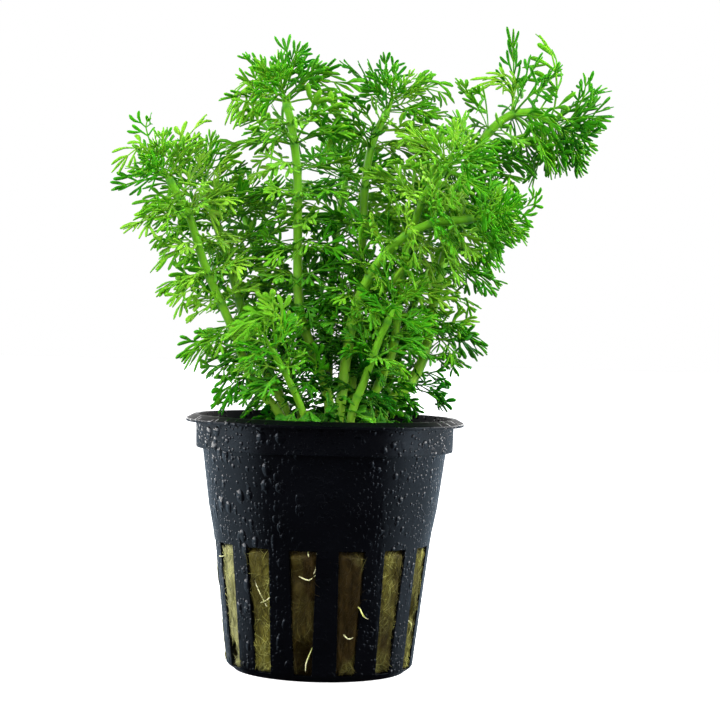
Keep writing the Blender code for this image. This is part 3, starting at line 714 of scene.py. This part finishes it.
def lay_leaf(form, leaf, rng):
    """Bend a flat leaf along its root, middle and tip, and give each point its tone."""
    x, y, z = form.points.T
    length = (leaf.tip - leaf.root).length
    root, middle, tip = (np.array(p) for p in (leaf.root, leaf.middle, leaf.tip))
    y = y[:, None]
    spine = root * (1 - y) * (1 - 2 * y) + middle * 4 * y * (1 - y) + tip * y * (2 * y - 1)
    ahead = root * (4 * y - 3) + middle * (4 - 8 * y) + tip * (4 * y - 1)
    ahead /= np.linalg.norm(ahead, axis=1)[:, None]
    turn = rng.gauss(0, 0.42) + rng.uniform(-0.7, 0.7) * (y - 0.2)
    side = np.array(leaf.side)[None, :] - ahead * (ahead @ np.array(leaf.side))[:, None]
    side /= np.linalg.norm(side, axis=1)[:, None]
    lift = np.cross(side, ahead)
    side, lift = side * np.cos(turn) + lift * np.sin(turn), lift * np.cos(turn) - side * np.sin(turn)
    fold = rng.uniform(-0.35, 0.6)
    sag = rng.uniform(-0.5, 1.6)
    height = z * 12 / length ** 0.5 / 3.4 + fold * np.abs(x) - sag * x * x
    spread = rng.uniform(0.85, 1.1) * min(1, (FULL_WIDTH_LENGTH / length) ** 0.7)
    laid = spine + side * (x * spread * length)[:, None] + lift * (height * length)[:, None]
    tone = np.zeros((len(x), 4))
    # Painted shade: darker near the pot's axis and low down, besides each leaf's own random tone
    outward = float(np.interp(hypot(*leaf.tip.xy), TONE_REACH, TONE_AND_SHADE_ADDED))
    low = max(0.0, (SHADE_BELOW_HEIGHT - leaf.tip.z) / SHADE_BELOW_HEIGHT)
    tone[:, 0] = min(max(leaf.tone + outward - low + rng.gauss(0, TONE_SPREAD), 0), 1)
    tone[:, 2] = np.clip(np.abs(x) * 4, 0, 1)
    tone[:, 3] = form.upper > 0
    return form, laid, tone


def node_points(name):
    """A solid's points in millimetres with doubles merged, and the points that each one joins."""
    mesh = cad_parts[name].data
    spots = {}
    index = [spots.setdefault(tuple(round(c / MM, 3) for c in v.co), len(spots)) for v in mesh.vertices]
    links = [set() for _ in spots]
    for edge in mesh.edges:
        a, b = (index[i] for i in edge.vertices)
        links[a].add(b)
        links[b].add(a)
    return [Vector(p) for p in spots], links


def centre_of(points):
    return sum(points, Vector()) / len(points)


def solid_leaves(name, axis, reach, kind, tone):
    """The leaves of a solid: its points further than reach from the stem's axis, in joined groups."""
    points, links = node_points(name)
    far = {i for i, p in enumerate(points) if min((p - a).length for a in axis) > reach}
    leaves, left = [], set(far)
    while left:
        group, front = set(), [min(left)]
        while front:
            i = front.pop()
            if i in left:
                left.discard(i)
                group.add(i)
                front += links[i] & far
        base = {j for i in group for j in links[i]} - far
        if len(group) < 6 or not base:
            continue
        root = centre_of([points[j] for j in sorted(base)])
        own = sorted((points[i] for i in group), key=lambda p: (p - root).length)
        tip = own[-1]
        halfway = root.lerp(tip, 0.5)
        middle = centre_of(sorted(own, key=lambda p: (p - halfway).length)[:3])
        along = (tip - root).normalized()
        flat = [p - along * (p - root).dot(along) for p in own[:-1]]
        side = max((a - b for a in flat for b in flat), key=lambda d: (round(d.length, 4), d.x)).normalized()
        stem = min(axis, key=lambda a: (a - root).length)
        lift = side.cross(along)
        if lift.dot(UP + (root - stem).normalized() * 0.3) < 0:
            side.negate()
        start = stem + (root - stem) * 0.45
        leaves.append(Leaf(start, middle, tip, side, kind, tone))
    return leaves


def way_out(place, angle):
    """The direction that points out of a stem at an angle round it."""
    _, ahead, across = place
    return across * cos(angle) + ahead.cross(across) * sin(angle)


def free_leaf(place, angle, radius, length, rise, droop, kind, tone):
    """A leaf that no solid has, from the stem's surface at an angle round it."""
    here, ahead, _ = place
    out = way_out(place, angle)
    root = here + out * radius * 0.8
    heading = (out * cos(radians(rise)) + ahead * sin(radians(rise))).normalized()
    middle = root + heading * length * 0.5
    tip = root + (heading - UP * droop).normalized() * length
    return Leaf(root, middle, tip, ahead.cross(out).normalized(), kind, tone)


def single_leaves(shoot, axis):
    """The single leaves of a shoot, each with its foot on the stem and its face to the front."""
    leaves = []
    for foot, middle, tip, tone, *kind in SINGLE_LEAVES.get(shoot.name, ()):
        foot, middle, tip = Vector(foot), Vector(middle), Vector(tip)
        root = min(axis, key=lambda a: (a - foot).length)
        side = (tip - root).cross(Vector((0, -1, 0.3))).normalized()
        leaves.append(Leaf(root, middle, tip, side, kind[0] if kind else "feathery", tone))
    return leaves


def angle_round(place, leaf):
    """Where a leaf of a solid stands round its stem; the reverse of way_out."""
    here, ahead, across = place
    out = leaf.middle - here
    return atan2(out.dot(ahead.cross(across)), out.dot(across))


def shoot_leaves(shoot, route):
    """All leaves of a shoot: those of its solids, and the smaller ones between them."""
    rng = random.Random("leaves " + shoot.name)
    length = route[-1][0]
    end = route[-1][1] + route[-1][2] * BUD_LENGTH
    axis = [r[1] for r in route] + [route[-1][1].lerp(end, k / 12) for k in range(1, 13)]
    # Each shoot's own random tone, plus painted shade on the shoots at the back
    shade = rng.uniform(-0.08, 0.08) + (0.0 if route[-1][1].y < BACK_PLACE else BACK_SHADE)
    crown_radius = stem_radius(shoot, length, length)
    reach = crown_radius + BUD_REACH
    leaves = solid_leaves("crown_" + shoot.name, axis, reach, "feathery", CROWN_TONE + shade)
    count = CROWN_LEAVES if shoot.whorls else CROWN_LEAVES // 3
    for number in range(count):
        share = number / count
        place = place_at(route, length + 0.8 + 4.8 * share)
        angle = number * SPIRAL + rng.uniform(-0.2, 0.2)
        size = shoot.leaf * (0.84 - 0.46 * share) * rng.uniform(0.85, 1.15)
        rise = 22 + 55 * share + rng.uniform(-10, 10)
        kind = "feathery" if share < 0.5 else "young"
        tone = YOUNG_TONES[0] + YOUNG_TONES[1] * share + shade
        leaves.append(free_leaf(place, angle, crown_radius * 0.8, size, rise, 0.0, kind, tone))
    runs = whorl_runs(shoot, length)
    for number, run in enumerate(runs):
        place = place_at(route, run)
        radius = stem_radius(shoot, run, length)
        tone = WHORL_TONE + shade - WHORL_DARKER * number
        own = solid_leaves(whorl_name(shoot, number), axis, radius + HUB_REACH, "feathery", tone)
        leaves += own
        for leaf in own:
            angle = angle_round(place, leaf) + pi / 5 + rng.uniform(-0.25, 0.25)
            size = (leaf.tip - leaf.root).length * rng.uniform(0.7, 0.95)
            rise = 24 - 6 * number + rng.uniform(-16, 16)
            kind = "feathery" if size > FEATHERY_LENGTH else "sparse"
            leaves.append(free_leaf(place, angle, radius, size, rise, 0.2, kind, tone))
    marks = sorted(runs + [low_run(shoot), length])
    between = [(a + b) / 2 for a, b in zip(marks, marks[1:]) if b - a > 5]
    for run in between:
        place = place_at(route, run)
        radius = stem_radius(shoot, run, length)
        start = rng.uniform(0, WHOLE_TURN)
        share = run / length
        tone = BETWEEN_TONES[0] + BETWEEN_TONES[1] * share + shade
        for k in range(BETWEEN_LEAVES):
            size = shoot.leaf * (0.5 + 0.36 * share) * rng.uniform(0.8, 1.1)
            angle = start + k * WHOLE_TURN / BETWEEN_LEAVES + rng.uniform(-0.2, 0.2)
            rise = 18 + rng.uniform(-14, 18)
            leaves.append(free_leaf(place, angle, radius, size, rise, 0.25, "sparse", tone))
    radius = stem_radius(shoot, low_run(shoot), length)
    tone = STEM_LEAF_TONE + shade
    leaves += solid_leaves("stem_" + shoot.name, axis, radius + BUD_REACH, "feathery", tone)
    leaves += single_leaves(shoot, axis)
    return leaves, between


def foot_leaves(shoot, route, rng):
    """Small broad pale leaves crowded round the foot of a stem, and darker cut ones above, none in front."""
    leaves = []
    for number in range(FOOT_LEAVES):
        place = place_at(route, FOOT_START + number * FOOT_STEP + rng.uniform(-0.4, 0.4))
        kind, lengths, rises, tones = "broad", (4.5, 7.5), (-5, 40), (0.2, 0.62)
        if number >= BROAD_FOOT_LEAVES:
            kind, lengths, rises, tones = "sparse", (6, 9), (5, 50), (0.16, 0.4)
            if way_out(place, number * SPIRAL).y < -0.4:
                continue
        angle = number * SPIRAL + rng.uniform(-0.5, 0.5)
        size, rise = rng.uniform(*lengths), rng.uniform(*rises)
        leaves.append(free_leaf(place, angle, shoot.radius, size, rise, 0.3, kind, rng.uniform(*tones)))
    return leaves


def make_leaves(shoot, route, forms):
    leaves, between = shoot_leaves(shoot, route)
    rng = random.Random("lay " + shoot.name)
    leaves += foot_leaves(shoot, route, rng)
    copies = [lay_leaf(rng.choice(forms[leaf.kind]), leaf, rng) for leaf in leaves]
    obj = joined("leaves_" + shoot.name, copies, "leaf_tone")
    nodes = ["crown_" + shoot.name] + [whorl_name(shoot, number) for number in range(shoot.whorls)]
    as_piece(obj, LEAF_GREEN, nodes)
    return between


# Stems

def make_stem(shoot, route, between):
    """A round stem, a little swollen and darker wherever leaves join it."""
    length = route[-1][0]
    joints = whorl_runs(shoot, length) + between + [low_run(shoot), length]
    bm = bmesh.new()
    tones = []
    count = int((length + BUD_LENGTH * 0.8) / STEM_STEP)
    face = disc(bm, STEM_SIDES)
    for k in range(count + 1):
        run = k * STEM_STEP
        here, ahead, across = place_at(route, run)
        over = ahead.cross(across)
        nearest = min(abs(run - j) for j in joints)
        swell = exp(-(nearest / JOINT_LENGTH) ** 2)
        radius = stem_radius(shoot, run, length) * (1 + JOINT_SWELL * swell)
        if run > length:
            radius *= max(0.12, 1 - (run - length) / (BUD_LENGTH * 0.85))
        if k:
            face, _ = extrude(bm, face)
        for n, vert in enumerate(face.verts):
            t = 2 * pi * n / STEM_SIDES
            ridge = 1 + RIDGE_HEIGHT * cos(RIDGES * t)
            vert.co = here + (across * cos(t) + over * sin(t)) * radius * ridge
            tones.append((0.75 * exp(-((nearest - 0.1) / 0.3) ** 2), run / length, 0, 1))
    close_ends(bm)
    layer = bm.verts.layers.float_color.new("stem_tone")
    bm.verts.ensure_lookup_table()
    for vert, tone in zip(bm.verts, tones):
        vert[layer] = tone
    obj = object_from_bmesh("shoot_stem_" + shoot.name, bm)
    as_piece(obj, STEM_GREEN, ["stem_" + shoot.name])


# Pot

def slot_half_angle(height):
    t = (height - SLOT_BOTTOM[1]) / (SLOT_TOP[1] - SLOT_BOTTOM[1])
    return (SLOT_ANGLE_BOTTOM + (SLOT_ANGLE_TOP - SLOT_ANGLE_BOTTOM) * min(max(t, 0.0), 1.0)) / 2


def degrees_round(point):
    return degrees(atan2(point.y, point.x))


def turned(profile, steps):
    """A profile of radii and heights, spun round the Z axis."""
    bm = bmesh.new()
    verts = [bm.verts.new((radius, 0, height)) for radius, height in profile]
    edges = [bm.edges.new(pair) for pair in zip(verts, verts[1:])]
    bmesh.ops.spin(bm, geom=verts + edges, cent=(0, 0, 0), axis=(0, 0, 1), dvec=(0, 0, 0),
                   angle=2 * pi, steps=steps, use_merge=True)
    bmesh.ops.remove_doubles(bm, verts=bm.verts, dist=1e-4)
    return bm


def align_to_slots(bm, slot_columns, bar_columns):
    """Turn the evenly spaced columns of a turned shape so that each slot's edges fall on a column."""
    per_slot = slot_columns + bar_columns
    steps = per_slot * SLOTS
    for vert in bm.verts:
        radius = hypot(vert.co.x, vert.co.y)
        if radius < 0.01:
            continue
        column = round(degrees_round(vert.co) / (360 / steps)) % steps
        slot, part = divmod(column, per_slot)
        half = slot_half_angle(vert.co.z)
        if part <= slot_columns:
            turn = -half + 2 * half * part / slot_columns
        else:
            turn = half + (SLOT_PITCH - 2 * half) * (part - slot_columns) / bar_columns
        angle = radians(SLOT_PHASE + slot * SLOT_PITCH + turn)
        vert.co.x, vert.co.y = radius * cos(angle), radius * sin(angle)


def make_pot():
    outside = [(0, 0), (BASE_RADIUS, 0), (16.8, 0.2), CORNER, (18.1, 1.15), SLOT_BOTTOM, SLOT_TOP,
               SHOULDER_LOW, SHOULDER_HIGH, (NECK_RADIUS, COLLAR_HEIGHT),
               (COLLAR_RADIUS - 0.1, COLLAR_HEIGHT), (COLLAR_RADIUS, FLANGE_LOW),
               (FLANGE_RADIUS, FLANGE_LOW), (FLANGE_RADIUS, FLANGE_HIGH), (LIP_RADIUS, POT_HEIGHT)]
    inside = [(MOUTH_RADIUS, POT_HEIGHT), (COLLAR_RADIUS - WALL, COLLAR_HEIGHT + WALL),
              (NECK_RADIUS - WALL, COLLAR_HEIGHT + WALL), (SLOT_TOP[0] - WALL, SLOT_TOP[1]),
              (SLOT_BOTTOM[0] - WALL, SLOT_BOTTOM[1]), (BASE_RADIUS, FLOOR), (0, FLOOR)]
    bm = turned(outside + inside, (SLOT_COLUMNS + BAR_COLUMNS) * SLOTS)
    align_to_slots(bm, SLOT_COLUMNS, BAR_COLUMNS)
    for slot in range(SLOTS):
        panels = []
        for face in bm.faces:
            middle = face.calc_center_median()
            turn = degrees_round(middle) - SLOT_PHASE - slot * SLOT_PITCH
            turn = (turn + 180) % 360 - 180
            tall = SLOT_BOTTOM[1] < middle.z < SLOT_TOP[1] and middle.xy.length > BASE_RADIUS * 0.75
            if tall and abs(turn) < slot_half_angle(middle.z):
                panels.append(face)
        cut = set(panels)
        rims = [e for e in dict.fromkeys(e for f in panels for e in f.edges)
                if len([f for f in e.link_faces if f in cut]) == 1]
        bmesh.ops.delete(bm, geom=panels, context="FACES")
        bmesh.ops.bridge_loops(bm, edges=rims)
    bmesh.ops.recalc_face_normals(bm, faces=bm.faces)
    obj = object_from_bmesh("wet_pot", bm, sharp=38)
    edge = obj.modifiers.new("worn_edges", "BEVEL")
    edge.width = 0.00016
    edge.segments = 3
    edge.limit_method = "ANGLE"
    edge.angle_limit = radians(28)
    as_piece(obj, WET_PLASTIC, ["pot"])
    obj.data.materials.append(DULL_PLASTIC)
    for face in obj.data.polygons:
        middle = face.center
        lip = middle.z > (FLANGE_HIGH + 0.05) * MM
        steep_inside = face.normal.xy.dot(middle.xy) <= 0 and abs(face.normal.z) < 0.6
        if lip or steep_inside and middle.z > FLOOR * 2 * MM:
            face.material_index = 1


# Wool and roots

def wool_depth(point):
    """How deep the plug's surface is sunk at a point: lumps, torn hollows, and bulges in the slots."""
    p = Vector((point.x, point.y, point.z * 0.6))
    lumps = noise.fractal(p * 0.22, 0.8, 2.1, 4)
    torn = max(0.0, noise.noise(p * 0.16 + Vector((3.1, 9.2, 4.4))) - 0.3) * 6
    turn = (degrees_round(point) - SLOT_PHASE + SLOT_PITCH / 2) % SLOT_PITCH
    off = abs(turn - SLOT_PITCH / 2) / slot_half_angle(point.z)
    ends = min(point.z - SLOT_BOTTOM[1] - 0.3, SLOT_TOP[1] - 0.5 - point.z)
    bulge = min(max(1.02 - off, 0) * 30, 1) * min(max(ends, 0) * 1.5, 1)
    return 0.2 - 0.3 * lumps + 1.3 * torn - 1.15 * bulge


# Painted shade: the deeper the plug's surface is sunk, the darker; its bulges in the slots are paler with
# painted light
def plug_tone_with_painted_shade(depth):
    return min(max(0.37 - 0.25 * depth, 0), 1)


def slot_stain_and_painted_light(point):
    """How brown the plug is behind the slot nearest to a point: real stains, with painted shade on the front
    slots and painted light on the far-left one.
    """
    turn = degrees_round(point) - SLOT_PHASE + SLOT_PITCH / 2
    return WOOL_STAINS_AND_PAINTED_LIGHT[int(turn // SLOT_PITCH) % SLOTS]


def make_wool():
    inner = WALL + WOOL_GAP
    profile = [(0, FLOOR + 0.3), (15.4, FLOOR + 0.3), (SLOT_BOTTOM[0] - inner, SLOT_BOTTOM[1] + 0.5),
               (SLOT_TOP[0] - inner, SLOT_TOP[1]), (22.6, COLLAR_HEIGHT), (21.6, 45.4),
               (PLUG_TOP_RADIUS, WOOL_TOP), (12, WOOL_TOP), (0, WOOL_TOP)]
    bm = turned(profile, (PLUG_SLOT_COLUMNS + PLUG_BAR_COLUMNS) * SLOTS)
    bmesh.ops.recalc_face_normals(bm, faces=bm.faces)
    tall = [e for e in bm.edges if abs(e.verts[0].co.z - e.verts[1].co.z) > 6]
    bmesh.ops.subdivide_edges(bm, edges=tall, cuts=40, use_grid_fill=True)
    align_to_slots(bm, PLUG_SLOT_COLUMNS, PLUG_BAR_COLUMNS)
    layer = bm.verts.layers.float_color.new("wool_tone")
    for vert in bm.verts:
        radius = hypot(vert.co.x, vert.co.y)
        depth = wool_depth(vert.co)
        if radius > 14 and 2.0 < vert.co.z < 45:
            shrink = 1 - max(depth, -1.2) / radius
            vert.co.x *= shrink
            vert.co.y *= shrink
        elif vert.co.z > 45:
            vert.co.z -= max(0.0, depth * 0.8)
        vert[layer] = (plug_tone_with_painted_shade(depth), slot_stain_and_painted_light(vert.co), 0, 1)
    as_piece(object_from_bmesh("wool_plug", bm), WET_WOOL, ["mineral_wool"])


def strand_form(sides, segments):
    bm = bmesh.new()
    face = disc(bm, sides)
    if face.normal.z < 0:
        face.normal_flip()
    for k in range(1, segments + 1):
        face, _ = extrude(bm, face)
        for vert in face.verts:
            vert.co += UP / segments
    close_ends(bm)
    return form_of(bm)


def lay_strand(form, spine, radius, tone):
    """Bend a straight strand one unit long along a few points, with pointed ends."""
    knots = np.array(spine, dtype=float)
    t = form.points[:, 2] * (len(knots) - 1)
    low = np.clip(t.astype(int), 0, len(knots) - 2)
    here = knots[low] + (knots[low + 1] - knots[low]) * (t - low)[:, None]
    ahead = knots[-1] - knots[0]
    ahead /= np.linalg.norm(ahead)
    across = np.cross(ahead, (0.31, 0.52, 0.79))
    across /= np.linalg.norm(across)
    over = np.cross(ahead, across)
    thin = radius * np.sqrt(np.clip(1.05 - (2 * form.points[:, 2] - 1) ** 2, 0.05, 1))
    laid = here + (across * form.points[:, :1] + over * form.points[:, 1:2]) * thin[:, None]
    return form, laid, np.tile(tone, (len(laid), 1))


def wall_radius(height):
    marks = (SLOT_BOTTOM, SLOT_TOP, SHOULDER_LOW, SHOULDER_HIGH, (NECK_RADIUS, COLLAR_HEIGHT))
    for (r0, z0), (r1, z1) in zip(marks, marks[1:]):
        if height <= z1:
            return r0 + (r1 - r0) * (height - z0) / (z1 - z0)
    return NECK_RADIUS


def plug_point(around, height, out):
    """A point some degrees round the pot from its front, standing out from the plug's nominal surface."""
    radius = wall_radius(height) - WALL - WOOL_GAP + out
    turn = radians(around)
    return Vector((radius * sin(turn), -radius * cos(turn), height))


def slot_fibre(rng, fringe):
    """Spine, radius and tone of a fibre in a slot, or of one of the frayed fringe at a slot's foot."""
    slot = rng.randrange(SLOTS)
    z = rng.uniform(1.9, 3.6) if fringe else rng.uniform(1.9, 25.4)
    middle = 90 + SLOT_PHASE + slot * SLOT_PITCH + rng.uniform(-1, 1) * slot_half_angle(z)
    length = rng.uniform(0.9, 2.0) if fringe else rng.uniform(1.2, 4.2)
    lean = rng.gauss(0, 0.5 if fringe else 0.8)
    curl = rng.gauss(0, 3.0)
    start = plug_point(middle, z, 0)
    depth = wool_depth(start)
    lift = rng.uniform(-0.1, 0.25)
    spine = []
    for k in range(4):
        s = (k / 3 - 0.5) * length
        height = min(max(z + s * cos(lean), 1.75), 25.5)
        turn = middle + degrees(s * sin(lean) / 18) + curl * (k / 3 - 0.5) ** 2 * 2
        spine.append(plug_point(turn, height, lift - depth + (0.4 - 0.3 * k if fringe else 0)))
    tone = min(max(plug_tone_with_painted_shade(depth) + (0.2 if fringe else 0.08) + rng.gauss(0, 0.34), 0.03), 1)
    return spine, rng.uniform(*FIBRE_RADII), (tone, slot_stain_and_painted_light(start), 0, 1)


def top_fibre(rng):
    """Spine, radius and tone of a fibre that lies on the plug's top."""
    turn, radius = rng.uniform(0, 2 * pi), 21 * rng.uniform(0.3, 1) ** 0.5
    length, heading, curl = rng.uniform(2, 5), rng.uniform(0, 2 * pi), rng.gauss(0, 0.4)
    middle = Vector((radius * cos(turn), radius * sin(turn), WOOL_TOP))
    spine = []
    for k in range(4):
        way = heading + curl * k
        point = middle + Vector((cos(way), sin(way), 0)) * (k / 3 - 0.5) * length
        if point.xy.length > PLUG_TOP_RADIUS:
            point.xy *= PLUG_TOP_RADIUS / point.xy.length
        point.z = WOOL_TOP - max(0.0, wool_depth(point) * 0.8) + rng.uniform(0, 0.25)
        spine.append(point)
    return spine, rng.uniform(*FIBRE_RADII), (rng.uniform(0.2, 0.9), 0.2, 0, 1)


def make_fibres():
    """Loose fibres on the plug where the slots show it, and on its top."""
    form = strand_form(3, 4)
    rng = random.Random("wool fibres")
    in_slots, on_top = FIBRES
    copies = [lay_strand(form, *slot_fibre(rng, number % FRINGE_SHARE == 0)) for number in range(in_slots)]
    copies += [lay_strand(form, *top_fibre(rng)) for _ in range(on_top)]
    as_piece(joined("wool_fibres", copies, "wool_tone"), WET_WOOL)


def make_roots():
    """The pale roots that the slots show, and a few more round the back."""
    form = strand_form(6, 16)
    rng = random.Random("roots")
    routes = list(ROOTS)
    for slot in range(4, 12):
        around = 90 + SLOT_PHASE + slot * SLOT_PITCH + rng.uniform(-2, 2)
        height = rng.uniform(5, 20)
        routes.append([(around + 2.5 * k * rng.uniform(-0.4, 1),
                        height - 1.6 * k * rng.uniform(0.5, 1.2), rng.uniform(0.3, 0.8)) for k in range(4)])
    copies = []
    for points in routes:
        places = [plug_point(*point) for point in points]
        spine = [step[1] for step in smooth_route(places)]
        copies.append(lay_strand(form, spine, rng.uniform(*ROOT_RADII), (rng.random(), 0, 0, 1)))
    as_piece(joined("roots", copies, "root_tone"), ROOT_FLESH)


# Camera, lights and floor

def make_camera():
    camera = bpy.data.cameras.new("camera")
    camera.lens = CAMERA_LENS
    camera.clip_start = 0.01
    obj = linked_object("camera", camera)
    turn = Matrix.Rotation(radians(CAMERA_TILT), 4, "X") @ Matrix.Rotation(radians(CAMERA_ROLL), 4, "Z")
    obj.matrix_world = Matrix.Translation(CAMERA_PLACE) @ turn
    bpy.context.scene.camera = obj


def area_light(name, place, size, power, unseen):
    """A light aimed at the object, unseen by one kind of ray: visible_glossy or visible_diffuse."""
    light = bpy.data.lights.new(name, "AREA")
    light.shape = "RECTANGLE"
    light.size, light.size_y = size
    light.energy = power
    obj = linked_object(name, light)
    obj.location = place
    obj.rotation_euler = (Vector((0, 0, 0.07)) - Vector(place)).to_track_quat("-Z", "Y").to_euler()
    obj.visible_camera = False
    setattr(obj, unseen, False)


def make_studio():
    """White surround beside and behind the pot, dark on the camera's side, with soft lights round it."""
    area_light("top_softbox", (0.05, -0.05, 0.7), (0.5, 0.5), 2.6, "visible_glossy")
    area_light("front_softbox", (0, -0.75, 0.2), (0.5, 0.4), 4.0, "visible_glossy")
    for name, side in (("left", -0.52), ("right", 0.52)):
        area_light(name + "_softbox", (side, -0.25, 0.32), (0.3, 0.4), 8.0, "visible_glossy")
        area_light(name + "_glint", (side, -0.25, 0.32), (0.2, 0.3), 0.9, "visible_diffuse")
    world = bpy.data.worlds.new("white_surround")
    world.use_nodes = True
    tree = world.node_tree
    way = add_node(tree, "SeparateXYZ", {0: add_node(tree, "TexCoord").outputs["Generated"]}).outputs
    white = ramp(tree, math_node(tree, "MULTIPLY_ADD", way["Y"], 0.5), (
        (0.3, (0.02, 0.022, 0.026)), (0.47, (0.74, 0.86, 1)), (0.8, (1, 1, 1))))
    strength = map_range(tree, way["Z"], 0.2, 0.6, 2.6, 0.3)
    surround = add_node(tree, "Background", {"Color": white, "Strength": strength})
    backdrop = add_node(tree, "Background", {"Color": (1, 1, 1, 1), "Strength": 1.0})
    seen = add_node(tree, "LightPath").outputs["Is Camera Ray"]
    both = add_node(tree, "MixShader", {0: seen, 1: surround.outputs[0], 2: backdrop.outputs[0]})
    tree.links.new(both.outputs[0], tree.nodes["World Output"].inputs["Surface"])
    bpy.context.scene.world = world
    bpy.context.scene.view_settings.view_transform = "Standard"


def make_floor():
    """A plain white floor. The pot's gloss sees it dark on the camera's side, where a black card lies."""
    bm = bmesh.new()
    bmesh.ops.create_grid(bm, x_segments=2, y_segments=2, size=3000)
    floor = object_from_bmesh("studio_floor", bm)
    material, tree = new_material("pale_floor")
    coords = add_node(tree, "TexCoord").outputs["Object"]
    x, y, _ = add_node(tree, "SeparateXYZ", {0: coords}).outputs
    from_front = math_node(tree, "ARCTAN2", math_node(tree, "ABSOLUTE", x), times(tree, y, -1.0))
    card = ramp(tree, math_node(tree, "DIVIDE", from_front, pi),
                ((0.3, (0.01, 0.01, 0.013)), (0.48, (0.13, 0.165, 0.2))))
    away = add_node(tree, "VectorMath", {0: coords}, operation="LENGTH").outputs["Value"]
    card = scaled(tree, card, map_range(tree, away, 0.15, 0.45, 1.0, 1.8))
    seen = add_node(tree, "LightPath").outputs["Is Camera Ray"]
    floor.data.materials.append(shaded(material, {
        "Base Color": mix_colors(tree, seen, card, (0.92, 0.92, 0.92)), "Roughness": 0.9,
        "Specular IOR Level": 0.0, "Emission Color": seen, "Emission Strength": 1.0}))


make_camera()
make_studio()
make_floor()
LEAF_GREEN = leaf_material()
STEM_GREEN = stem_material()
WET_WOOL = wool_material()
ROOT_FLESH = root_material()
WET_PLASTIC = pot_material()
DULL_PLASTIC = rim_material()
FORMS = leaf_forms()
for shoot in SHOOTS:
    route = smooth_route(shoot.route)
    make_stem(shoot, route, make_leaves(shoot, route, FORMS))
make_pot()
make_wool()
make_fibres()
make_roots()
